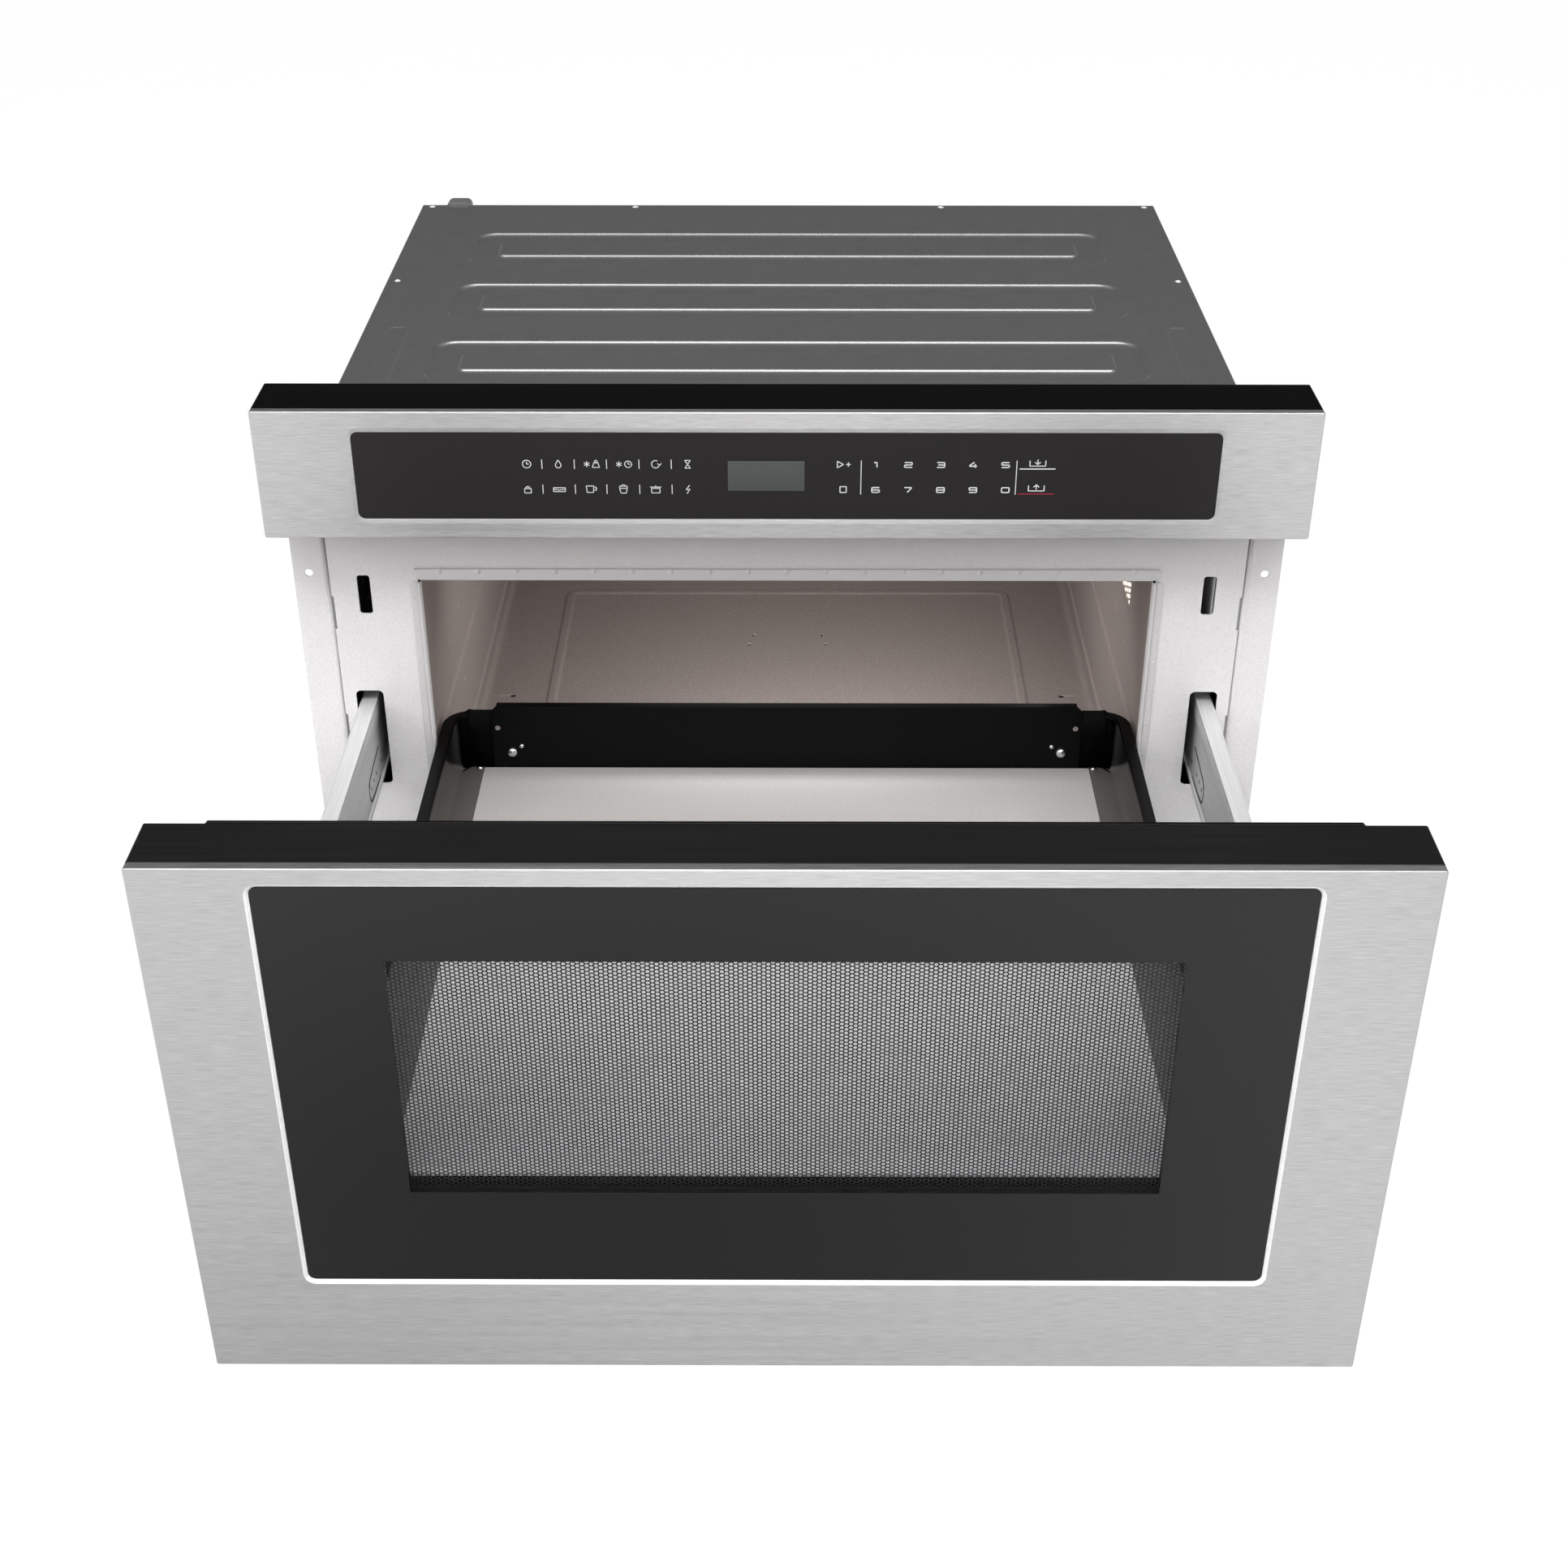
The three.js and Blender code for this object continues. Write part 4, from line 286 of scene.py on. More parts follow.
def from_rounded_box(x, y, half_x, half_y, radius):
    """Signed distance to the edge of a rectangle with round corners, negative inside it."""
    over_x, over_y = np.abs(x) - half_x + radius, np.abs(y) - half_y + radius
    outside = np.hypot(np.maximum(over_x, 0), np.maximum(over_y, 0))
    return outside + np.minimum(np.maximum(over_x, over_y), 0) - radius


def round_holes(x, y, holes, radius, window):
    """Warps the grid round each hole from squares to circles; returns the new grid and the cells kept."""
    keep = np.ones((x.shape[0] - 1, x.shape[1] - 1), bool)
    for hole_x, hole_y in holes:
        dx, dy = x - hole_x, y - hole_y
        square = np.maximum(np.abs(dx), np.abs(dy))
        share = np.clip((window - square) / (window - radius), 0, 1)
        circle = square / np.maximum(np.hypot(dx, dy), 1e-9)
        scale = np.where(square < window, 1 + share * (circle - 1), 1)
        x, y = hole_x + dx * scale, hole_y + dy * scale
        middle = (square[:-1, :-1] + square[1:, 1:] + square[1:, :-1] + square[:-1, 1:]) / 4
        keep &= middle > radius
    return x, y, keep


galvanised, tree, shader = material("galvanised steel sheet", "#9c9b9b", metallic=0.75, roughness=0.30)
patches = object_noise(tree, 14, detail=3)
specks = object_noise(tree, 1.6, detail=2)  # zinc grain, drawn coarser than the real 0.3 mm so that it shows
both = maths(tree, "ADD", patches.outputs["Fac"], specks.outputs["Fac"])
tone = ramp(tree, maths(tree, "MULTIPLY", both, 0.5), 0.35, 0.65)
blend(tree, shader, tone, "#989797", "#a09f9f")
roughen(tree, shader, specks, 0.05, 0.01)

BODY_HALF = 279.0
PLATE_FRONT = -227.0
BODY_REAR = 227.0
SHEET = 1.2
BODY_TOP = 375.3
BEAD_HALF = (228.5, 35.5)
BEAD_MIDDLES = (124.0, 12.0, -100.0)
BEAD_CORNER = 15.0
ISLAND_HALF = (207.5, 14.5)
ISLAND_CORNER = 3.5
BEAD_DEPTH = 1.4
BEAD_SLOPE = 1.8
SIDE_BEAD_MIDDLE = (257.5, -95.5)
SIDE_BEAD_HALF = (9.0, 57.5)
SIDE_BEAD_CORNER = 8.0
SIDE_BEAD_DEPTH = 0.45
SIDE_BEAD_SLOPE = 2.0
COVER_HOLE_RADIUS = 2.4
COVER_HOLES = [(s * x, y) for s in (-1, 1) for x, y in ((116.5, 223.0), (271.5, 223.0), (272.0, 53.1))]

bead_edges = [m + s * h for m in BEAD_MIDDLES for s in (-1, 1) for h in (BEAD_HALF[1], ISLAND_HALF[1])]
bead_ends = [s * v for s in (-1, 1) for v in (205, 208, 216, 228.5, 249.5, 265.5, 272, 116.5)]
cover_x = lines_near(-BODY_HALF, BODY_HALF, bead_ends, 0.7, 12, 5)
bead_edges += [m + s * v for m in BEAD_MIDDLES for s in (-1, 1) for v in (20, 27)] + [53.1, 223, -38, -153]
cover_y = lines_near(PLATE_FRONT + SHEET + 0.3, BODY_REAR, bead_edges, 0.5, 8, 1.5)
x, y = np.meshgrid(cover_x, cover_y)
z = np.full_like(x, BODY_TOP)
for middle in BEAD_MIDDLES:
    inside = -from_rounded_box(x, y - middle, *BEAD_HALF, BEAD_CORNER)
    off_island = from_rounded_box(x, y - middle, *ISLAND_HALF, ISLAND_CORNER)
    z -= BEAD_DEPTH * ease(inside / BEAD_SLOPE) * ease(off_island / BEAD_SLOPE)
along_bead = y - SIDE_BEAD_MIDDLE[1]
side_bead = -from_rounded_box(np.abs(x) - SIDE_BEAD_MIDDLE[0], along_bead, *SIDE_BEAD_HALF, SIDE_BEAD_CORNER)
z -= SIDE_BEAD_DEPTH * ease(side_bead / SIDE_BEAD_SLOPE)
x, y, keep = round_holes(x, y, COVER_HOLES, COVER_HOLE_RADIUS, 4.5)
shape = (np.stack([x, y, z], -1).reshape(-1, 3), quads(*x.shape, keep=keep))
thicken(piece("top_cover_sheet", shape, galvanised, "body", ["top_cover"]), SHEET)


# Side panels, rear panel and base pan. The same galvanised sheet, folded at its edges and screwed to the
# front plate and the cover; they show in the side and rear views.
def coat(surface, *names):
    """Gives the CAD solids of these names a material."""
    for name in names:
        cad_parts[name].data.materials.clear()
        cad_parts[name].data.materials.append(surface)


coat(
    galvanised, "side_panel_left", "side_panel_right", "rear_panel", "base_pan", "stirrer_housing",
    "waveguide",
)


# Mains lead hood. A small pressed cover with round shoulders on the rear panel's upper edge, where the lead
# leaves the body.
def arc(cx, cy, radius, start, end, steps=14):
    """Points on a circle between two angles in degrees."""
    a = np.radians(np.linspace(start, end, steps))
    return np.stack([cx + radius * np.cos(a), cy + radius * np.sin(a)], -1)


def rounded_loop(x0, x1, z0, z1, radius, steps=6):
    """Closed loop of a rectangle with round corners, anticlockwise, steps + 1 points at each corner."""
    centres = [(x1 - radius, z1 - radius), (x0 + radius, z1 - radius), (x0 + radius, z0 + radius),
               (x1 - radius, z0 + radius)]
    corners = zip(centres, (0, 90, 180, 270))
    return np.concatenate([arc(*centre, radius, turn, turn + 90, steps + 1) for centre, turn in corners])


def carried(loops, depths):
    """Points of closed loops in x and z, one loop for each depth along y, and the quads between them."""
    rows = [np.insert(loop, 1, depth, axis=1) for loop, depth in zip(loops, depths)]
    return np.concatenate(rows), quads(len(rows), len(loops[0]), around=True)


def carried_solid(loops, depths):
    """Loops carried along y with both ends closed and every face outward."""
    points, faces = carried(loops, depths)
    count = len(loops[0])
    faces = [face[::-1] for face in faces.tolist()]
    return points, faces + [list(range(count)), list(range(len(points) - count, len(points)))[::-1]]


hood_grey, tree, shader = material("grey painted hood", "#6c6c6c", roughness=0.45)
HOOD_X = (-261.3, -242.7)
HOOD_Y = (227.3, 241.3)
HOOD_Z = (336.7, 377.2)
HOOD_SHOULDER = 3.0
loops = [rounded_loop(*HOOD_X, *HOOD_Z, 4.0)]
depths = [HOOD_Y[0]]
for angle in np.radians([0, 22.5, 45, 67.5, 90]):
    inset = HOOD_SHOULDER * (1 - math.cos(angle))
    (x0, x1), (z0, z1) = HOOD_X, HOOD_Z
    loops.append(rounded_loop(x0 + inset, x1 - inset, z0 + inset, z1 - inset, 4.2 - inset))
    depths.append(HOOD_Y[1] - HOOD_SHOULDER * (1 - math.sin(angle)))
piece("cord_hood", carried_solid(loops, depths), hood_grey, "body", ["cord_inlet"])


# Front plate. Steel sheet with a pale, slightly orange-peel powder coat; the slides, the latches and the rack
# run through its slots, and the cavity's flange is spot-welded round its mouth.
def inside_polygon(points, loop):
    """True for points inside a closed loop: a ray to the right crosses it an odd number of times."""
    px, py = points[:, :1], points[:, 1:2]
    ax, ay = loop[:, 0], loop[:, 1]
    bx, by = np.roll(ax, -1), np.roll(ay, -1)
    spans = (ay > py) != (by > py)
    slope = np.where(by == ay, 1e-12, by - ay)
    return (np.sum(spans & (px < (bx - ax) * (py - ay) / slope + ax), axis=1) % 2) == 1


def moved_in(loop, distance):
    """A closed loop with each side moved to its left by a distance, its corners on the bisectors."""
    before, after = loop - np.roll(loop, 1, axis=0), np.roll(loop, -1, axis=0) - loop
    before /= np.maximum(np.linalg.norm(before, axis=1, keepdims=True), 1e-9)
    after /= np.maximum(np.linalg.norm(after, axis=1, keepdims=True), 1e-9)
    normal = np.stack([-(before[:, 1] + after[:, 1]), before[:, 0] + after[:, 0]], -1)
    length = np.maximum(np.linalg.norm(normal, axis=1, keepdims=True), 1e-9)
    normal /= length
    return loop + normal * distance / np.maximum(length / 2, 0.4)


def anticlockwise(loop):
    """The loop, turned round if its area is negative."""
    loop = np.asarray(loop, float)
    ahead = np.roll(loop, -1, axis=0)
    area = np.sum(loop[:, 0] * ahead[:, 1] - ahead[:, 0] * loop[:, 1])
    return loop if area > 0 else loop[::-1]


def joined(*shapes):
    """Several lists of points and faces as one."""
    points, faces, count = [], [], 0
    for some_points, some_faces in shapes:
        points.append(np.asarray(some_points, float))
        faces.extend([[int(i) + count for i in face] for face in some_faces])
        count += len(some_points)
    return np.concatenate(points), faces


def cut_sheet(outline, openings, low, high, edge=0.25):
    """Flat sheet between low and high: its outline and openings in the plane, a quarter-round of three steps
    along each rim, and the two faces triangulated. Returns points (u, v, w) and faces."""
    turns = np.radians([0, 30, 60, 90])
    profile = [(edge * (1 - math.sin(a)), low + edge * (1 - math.cos(a))) for a in turns]
    profile += [(edge * (1 - math.cos(a)), high - edge * (1 - math.sin(a))) for a in turns]
    shapes, flat, ranges, count = [], [], [], 0
    for number, loop in enumerate([outline] + list(openings)):
        loop = anticlockwise(loop)
        if number:
            loop = loop[::-1]
        rows = [np.column_stack([moved_in(loop, inset), np.full(len(loop), w)]) for inset, w in profile]
        shapes.append((np.concatenate(rows), quads(len(rows), len(loop), around=True)))
        flat.append(moved_in(loop, edge))
        ranges.append((count, len(loop)))
        count += len(loop)
    edges = [(s + i, s + (i + 1) % n) for s, n in ranges for i in range(n)]
    plane = np.concatenate(flat)
    found = delaunay_2d_cdt([tuple(p) for p in plane], edges, [], 1, 1e-7)
    corners = np.array([tuple(v) for v in found[0]])
    triangles = np.array([f for f in found[2] if len(f) == 3])
    centres = corners[triangles].mean(axis=1)
    keep = inside_polygon(centres, flat[0])
    for loop in flat[1:]:
        keep &= ~inside_polygon(centres, loop)
    triangles = triangles[keep]
    for w, order in ((high, triangles), (low, triangles[:, ::-1])):
        shapes.append((np.column_stack([corners, np.full(len(corners), w)]), order))
    return joined(*shapes)


def facing_front(shape):
    """(u, v, w) of a sheet as x = u, z = v, and y = -w, so that w points to the front."""
    points, faces = shape
    return np.stack([points[:, 0], -points[:, 2], points[:, 1]], -1), faces


def front_sheet(*sheet):
    """A cut sheet that stands and faces the front."""
    return facing_front(cut_sheet(*sheet))


def object_part(tree, axis):
    """One of the Object coordinates, in metres."""
    place = put(tree, "ShaderNodeTexCoord").outputs["Object"]
    return put(tree, "ShaderNodeSeparateXYZ", {0: place}).outputs[axis]


def vary_colour(tree, shader, noise, low, high, from_min=0.35, from_max=0.65):
    """Mixes two colours by a noise."""
    return blend(tree, shader, ramp(tree, noise.outputs["Fac"], from_min, from_max), low, high)


def even_shading(made):
    """Keeps flat faces flat beside their rounded rims, by weighting normals with face area."""
    made.modifiers.new("flat faces", "WEIGHTED_NORMAL").keep_sharp = True
    return made


enamel, tree, shader = material("powder coated steel", "#e6e3e3", roughness=0.38, IOR=1.5)
grain = vary_colour(tree, shader, object_noise(tree, 0.8, detail=1), "#dedbdc", "#edebeb", 0.3, 0.7)
# painted shade: the plate's colour darkens towards its top, deepening the fascia's shade there
painted_shade_share = ramp(tree, object_part(tree, "Z"), 0.255, 0.345, smooth=True)
blend(tree, shader, painted_shade_share, grain, "#b9b5b6")
peel = object_noise(tree, 1.0, detail=1)  # orange peel of a powder coat, hills 1 to 2 mm apart
roughen(tree, shader, peel, 0.85, 0.20)

PLATE_BACK = 225.8
PLATE_BOTTOM, PLATE_TOP = 0.2, 373.7
MOUTH_HALF = 223.2
MOUTH_BOTTOM, MOUTH_TOP = 79.5, 283.8
LATCH_SLOT = (254.6, 262.4, 259.9, 285.9, 1.8)
SLIDE_SLOT = (253.9, 271.1, 136.8, 205.3, 3.2)
RACK_SLOT = (-6.5, 6.5, 50.3, 68.3, 1.0)
SEAM_SLITS = ((249.0, 271.6), (167.4, 188.2))
SLIT_DEPTH = 1.2


def mirrored(loop, side):
    """A loop on the right, or the same on the left for side -1."""
    return np.asarray(loop, float) * [side, 1]


edge_right = [(BODY_HALF, PLATE_BOTTOM)]
for low, high in sorted(SEAM_SLITS):
    inner = BODY_HALF - SLIT_DEPTH
    edge_right += [(BODY_HALF, low), (inner, low), (inner, high), (BODY_HALF, high)]
edge_right += [(BODY_HALF, PLATE_TOP)]
plate_outline = np.array(edge_right + [(-px, pz) for px, pz in reversed(edge_right)])
plate_openings = [rounded_loop(-MOUTH_HALF, MOUTH_HALF, MOUTH_BOTTOM, MOUTH_TOP, 0.6, 3)]
plate_openings.append(rounded_loop(*RACK_SLOT, 3))
for side in (-1, 1):
    for x0, x1, z0, z1, radius in (LATCH_SLOT, SLIDE_SLOT):
        plate_openings.append(mirrored(rounded_loop(x0, x1, z0, z1, radius), side))
plate = front_sheet(plate_outline, plate_openings, PLATE_BACK, -PLATE_FRONT)
even_shading(piece("front_plate_sheet", plate, enamel, "body", ["front_plate"]))

# Latch guard. Grey plastic wall seen behind the right latch slot, moulded in one with the switch holder; the
# latch hook passes beside it when the drawer closes.
guard_grey, tree, shader = material("moulded grey plastic", "#a8a8a8", roughness=0.5)
roughen(tree, shader, object_noise(tree, 0.8, detail=1), 0.12, 0.04)
GUARD_X, GUARD_Y, GUARD_Z = (260.9, 262.1), (-225.6, -190.0), (230.0, 287.5)
guard = cut_sheet(rounded_loop(*GUARD_X, *GUARD_Y, 0.3, 2), [], *GUARD_Z, 0.2)
piece("latch_guard_right", guard, guard_grey, "body")

# Washers. White nylon washers under the cover show as bright spots in its screw holes; they hold the screws.
bright_washer, tree, shader = material("white nylon washer", "#f2f2f2", roughness=0.45)
WASHER_RADIUS = 2.2
WASHER_TOP = BODY_TOP - 0.15
rings = [arc(*hole, WASHER_RADIUS, 0, 337.5, 16) for hole in COVER_HOLES]
washers = joined(*[cut_sheet(ring, [], BODY_TOP - SHEET, WASHER_TOP, 0.1) for ring in rings])
piece("cover_hole_washers", washers, bright_washer, "body")

# Mouth flange. The cavity's own sheet turned out over the front plate: a strip above the mouth and one on
# each side, with a rounded lip into the cavity and a row of spot welds near its outer edge.
STRIP_RISE = 1.5
STRIP_TOP = 291.0
STRIP_SIDE = 230.3
# painted shade: the flange's coat is drawn a little darker than the plate's, standing in for the strips'
# shade
flange_enamel_painted_shade, tree, shader = material("powder coated flange", "#d0cece", roughness=0.45, IOR=1.5)
roughen(tree, shader, object_noise(tree, 1.2, detail=1), 0.5, 0.15)
PLATE = -PLATE_FRONT
WELD_PITCH = 23.5
SIDE_WELD_PITCH = 22.3
top_strip = [
    (-MOUTH_HALF - 1.0, MOUTH_TOP - 0.4), (MOUTH_HALF + 1.0, MOUTH_TOP - 0.4),
    (MOUTH_HALF + 4.6, STRIP_TOP - 2.5), (MOUTH_HALF + 3.4, STRIP_TOP),
    (-MOUTH_HALF - 3.4, STRIP_TOP), (-MOUTH_HALF - 4.6, STRIP_TOP - 2.5),
]


def dome_caps(centres, radius, rise, base, rings=4, around=10):
    """Low domes facing the front on a base: rise times the cosine of a quarter turn from middle to rim."""
    part = np.linspace(0, 1, rings + 1)[1:]
    angle = np.linspace(0, 2 * math.pi, around, endpoint=False)
    u = (radius * part[:, None] * np.cos(angle)).reshape(-1)
    v = (radius * part[:, None] * np.sin(angle)).reshape(-1)
    w = np.repeat(rise * np.cos(part * math.pi / 2), around)
    dome = np.concatenate([[[0, 0, rise]], np.stack([u, v, w], -1)])
    faces = [[0, 1 + i, 1 + (i + 1) % around] for i in range(around)]
    faces += [[int(i) + 1 for i in quad] for quad in quads(rings, around, around=True)[:, ::-1]]
    faces += [list(range(len(dome) - around, len(dome)))[::-1]]
    return facing_front(joined(*[(dome + [cx, cz, base], faces) for cx, cz in centres]))


welds = [(i * WELD_PITCH, STRIP_TOP - 1.6) for i in range(-9, 10)]
top_flange = joined(
    front_sheet(top_strip, [], PLATE - 0.1, PLATE + STRIP_RISE, 0.6),
    dome_caps(welds, 2.1, 1.1, PLATE + STRIP_RISE - 0.1),
)
even_shading(piece("mouth_flange_top", top_flange, flange_enamel_painted_shade, "body"))
strips = []
for side in (-1, 1):
    strip = mirrored([
        (MOUTH_HALF + 0.2, MOUTH_BOTTOM), (STRIP_SIDE, MOUTH_BOTTOM), (STRIP_SIDE, MOUTH_TOP - 4.0),
        (STRIP_SIDE - 2.6, MOUTH_TOP - 1.4), (MOUTH_HALF + 0.2, MOUTH_TOP - 1.4),
    ], side)
    roll = mirrored([
        (MOUTH_HALF + 0.2, MOUTH_BOTTOM), (MOUTH_HALF + 2.6, MOUTH_BOTTOM),
        (MOUTH_HALF + 2.6, MOUTH_TOP - 2.2), (MOUTH_HALF + 0.2, MOUTH_TOP - 2.2),
    ], side)
    strips.append(front_sheet(strip, [], PLATE - 0.1, PLATE + 0.9, 0.5))
    strips.append(front_sheet(roll, [], PLATE + 0.7, PLATE + 2.0, 0.9))
# a small gap is left open between the folded sheets at each upper corner of the mouth; the shade in it is
# painted as a black sheet
gap_painted_shade, tree, shader = material("open seam", "#050505", roughness=0.9)
gaps = [
    front_sheet(
        rounded_loop(middle - 0.9, middle + 0.9, MOUTH_TOP - 1.6, MOUTH_TOP + 0.2, 0.85, 3), [],
        PLATE + 0.5, PLATE + STRIP_RISE + 0.1, 0.1,
    )
    for middle in (-MOUTH_HALF - 0.8, MOUTH_HALF + 0.8)
]
piece("mouth_corner_gap_shade", joined(*gaps), gap_painted_shade, "body")
side_welds = [(s * (STRIP_SIDE - 2.0), 271.1 - i * SIDE_WELD_PITCH) for s in (-1, 1) for i in range(9)]
side_flange = joined(*strips, dome_caps(side_welds, 1.1, 0.5, PLATE + 0.85))
even_shading(piece("mouth_flange_sides", side_flange, flange_enamel_painted_shade, "body"))

# Mounting flanges. Powder coated angles outside the body with a soft bend at the seam; the cabinet screws go
# through their holes.
FLANGE_FAR = 300.6
FLANGE_BEND = 3.2
FLANGE_ENDS = (1.5, 373.8)
FLANGE_HOLES = (58.0, 287.6)
FLANGE_HOLE_X = 291.1
FLANGE_HOLE_RADIUS = 2.5
FLANGE_SHEET = 1.1
FLANGE_DEPTH = 28.0
SIDES = (("left", -1), ("right", 1))
for name, side in SIDES:
    centre = (BODY_HALF + 0.3 + FLANGE_BEND, PLATE_FRONT + FLANGE_BEND)
    path = np.concatenate([
        [(BODY_HALF + 0.3, PLATE_FRONT + FLANGE_DEPTH)], arc(*centre, FLANGE_BEND, 180, 270, 7),
    ])
    grid = np.array([[(px * side, py, h) for px, py in path] for h in FLANGE_ENDS])
    faces = quads(*grid.shape[:2])
    leg = (grid.reshape(-1, 3), faces if side > 0 else faces[:, ::-1])
    thicken(piece(f"mounting_flange_bend_{name}", leg, enamel, "body"), FLANGE_SHEET)
    low, high = FLANGE_ENDS
    face_loop = mirrored([(centre[0], low), (FLANGE_FAR, low), (FLANGE_FAR, high), (centre[0], high)], side)
    holes = [arc(side * FLANGE_HOLE_X, h, FLANGE_HOLE_RADIUS, 0, 342, 20) for h in FLANGE_HOLES]
    face = front_sheet(face_loop, holes, PLATE - FLANGE_SHEET, PLATE, 0.2)
    even_shading(piece(
        f"mounting_flange_face_{name}", face, enamel, "body", [f"mounting_flange_{name}"],
    ))

# Cavity. Steel sheet in a fine-textured grey-brown enamel; one sheet bent to the floor and both side walls,
# with long beads in the walls, an embossed frame in the floor and small pressed stops, welded to the back.
cavity_enamel, tree, shader = material("textured cavity enamel", "#8d847f", roughness=0.5, IOR=1.5)
speckle = object_noise(tree, 1.7, detail=2)
vary_colour(tree, shader, speckle, "#867c78", "#968d89", 0.3, 0.7)
roughen(tree, shader, speckle, 0.30, 0.10)

CAVITY_HALF = 224.5
FLOOR_TOP = 79.5
CEILING = 285.6
CAVITY_FRONT, CAVITY_BACK = -225.5, 191.0
WALL_BEND = 5.0
WALL_RIBS = ((93.6, 101.6), (155.0, 163.0))
RIB_PROUD = 1.6
RIB_SLOPE = 2.2
FLOOR_RING_HALF = (179.0, 164.25)
FLOOR_RING_MIDDLE = -1.25
FLOOR_RING_LINE = 8.6
FLOOR_RING_CORNER = 12.0
FLOOR_RING_LIFT = 1.0
FLOOR_HOLES = ((-203.7, -11.2), (203.7, -11.2))
FLOOR_STOPS = ((-26.7, 86.5), (26.7, 86.5), (-29.5, 71.5), (29.5, 71.5))
WALL_STOPS = ((-95.0, 198.8), (-143.0, 195.5), (-94.5, 139.1))
GRILLE_Y, GRILLE_Z = (-147.5, -87.5), (221.5, 263.5)

wall_spots = [v for rib in WALL_RIBS for v in rib] + [195.5, 198.8, 139.1]
wall_lines = lines_near(FLOOR_TOP + WALL_BEND, CEILING, wall_spots, 0.9, 9, 4)
bend = np.linspace(0, math.pi / 2, 7)[1:-1]
floor_spots = [s * v for s in (-1, 1) for v in (203.7, 179, 174.7, 170.4, 166, 28)]
floor_lines = lines_near(-CAVITY_HALF + WALL_BEND, CAVITY_HALF - WALL_BEND, floor_spots, 0.8, 14, 5)
arc_x, arc_z = WALL_BEND * (1 - np.cos(bend)), WALL_BEND * (1 - np.sin(bend))
across_x = np.concatenate([
    np.full(len(wall_lines), -CAVITY_HALF), -CAVITY_HALF + arc_x, floor_lines, CAVITY_HALF - arc_x[::-1],
    np.full(len(wall_lines), CAVITY_HALF),
])
across_z = np.concatenate([
    wall_lines[::-1], FLOOR_TOP + arc_z, np.full(len(floor_lines), FLOOR_TOP), FLOOR_TOP + arc_z[::-1],
    wall_lines,
])
along_spots = [162.8, 158.4, 153.5, 150, 85, 70, -11.2, -95, -143, *GRILLE_Y, 183]
along = lines_near(CAVITY_FRONT, CAVITY_BACK, along_spots, 0.8, 14, 5)
sx, sy = np.meshgrid(across_x, along)
sx, sy, keep = round_holes(sx, sy, FLOOR_HOLES, 2.0, 4.0)
sx, sy, clear = round_holes(sx, sy, [(stop_x, stop_y - 2.6) for stop_x, stop_y in FLOOR_STOPS], 1.0, 2.0)
keep &= clear
sz = np.broadcast_to(across_z, sx.shape).copy()
on_wall = (np.abs(sx) > CAVITY_HALF - 1e-6).astype(float)
proud = np.zeros_like(sx)
for low, high in WALL_RIBS:
    across_rib = ease((sz - low) / RIB_SLOPE) * ease((high - sz) / RIB_SLOPE)
    proud += RIB_PROUD * across_rib * ease((CAVITY_BACK - 6 - sy) / 6)
for stop_y, stop_z in WALL_STOPS:
    reach = np.hypot((sy - stop_y) / 1.6, (sz - stop_z) / 3.4)
    proud += 1.2 * ease(1.4 - reach)
proud *= on_wall
on_floor = (np.abs(sz - FLOOR_TOP) < 1e-6).astype(float)
ring = from_rounded_box(sx, sy - FLOOR_RING_MIDDLE, *FLOOR_RING_HALF, FLOOR_RING_CORNER)
lift = FLOOR_RING_LIFT * ease(-ring / 2.2) * ease((ring + FLOOR_RING_LINE) / 2.2)
for stop_x, stop_y in FLOOR_STOPS:
    lift += 0.9 * ease(1.6 - np.hypot((sx - stop_x) / 1.6, (sy - stop_y) / 1.3))
sx = sx - np.sign(sx) * proud
sz = sz + lift * on_floor
middle_x, middle_y, middle_z = ((grid[:-1, :-1] + grid[1:, 1:]) / 2 for grid in (sx, sy, sz))
in_grille = (middle_x > CAVITY_HALF - 2) & (middle_y > GRILLE_Y[0]) & (middle_y < GRILLE_Y[1])
in_grille &= (middle_z > GRILLE_Z[0]) & (middle_z < GRILLE_Z[1])
shape = (np.stack([sx, sy, sz], -1).reshape(-1, 3), quads(*sx.shape, keep=keep & ~in_grille))
lining = piece(
    "cavity_lining", shape, cavity_enamel, "body",
    ["cavity_floor", "cavity_wall_left", "cavity_wall_right"],
)
thicken(lining, 1.0)
coat(cavity_enamel, "cavity_back", "cavity_ceiling")


# Lamp grille. A field of six-sided holes punched in the cavity's right wall and enamelled with it; the lamp's
# white plastic diffuser is fixed behind it.
def hole_field(columns, rows, pitch_u, pitch_v, hole_u, hole_v):
    """Flat field of six-sided cells in staggered columns, each a ring between its cell and its hole."""
    column, row = np.meshgrid(np.arange(columns), np.arange(rows))
    u = (column - (columns - 1) / 2) * pitch_u
    v = (row - (rows - 1) / 2 + np.where(column % 2, 0.25, -0.25)) * pitch_v
    third = pitch_u / 3
    cell = np.array([(2 * third, 0), (third, 0.5 * pitch_v), (-third, 0.5 * pitch_v), (-2 * third, 0),
                     (-third, -0.5 * pitch_v), (third, -0.5 * pitch_v)])
    hole = cell * [hole_u, hole_v]
    centres = np.stack([u.ravel(), v.ravel()], -1)[:, None, :]
    points = np.concatenate([centres + cell, centres + hole], axis=1)
    first = 12 * np.arange(len(points))[:, None, None]
    i = np.arange(6)
    ring = np.stack([i, (i + 1) % 6, 6 + (i + 1) % 6, 6 + i], -1)
    return points.reshape(-1, 2), (first + ring).reshape(-1, 4)


def side_sheet(*sheet):
    """A cut sheet turned to face the side: (u, v, w) as y = u, z = v and x = w."""
    points, faces = cut_sheet(*sheet)
    return points[:, [2, 0, 1]], faces


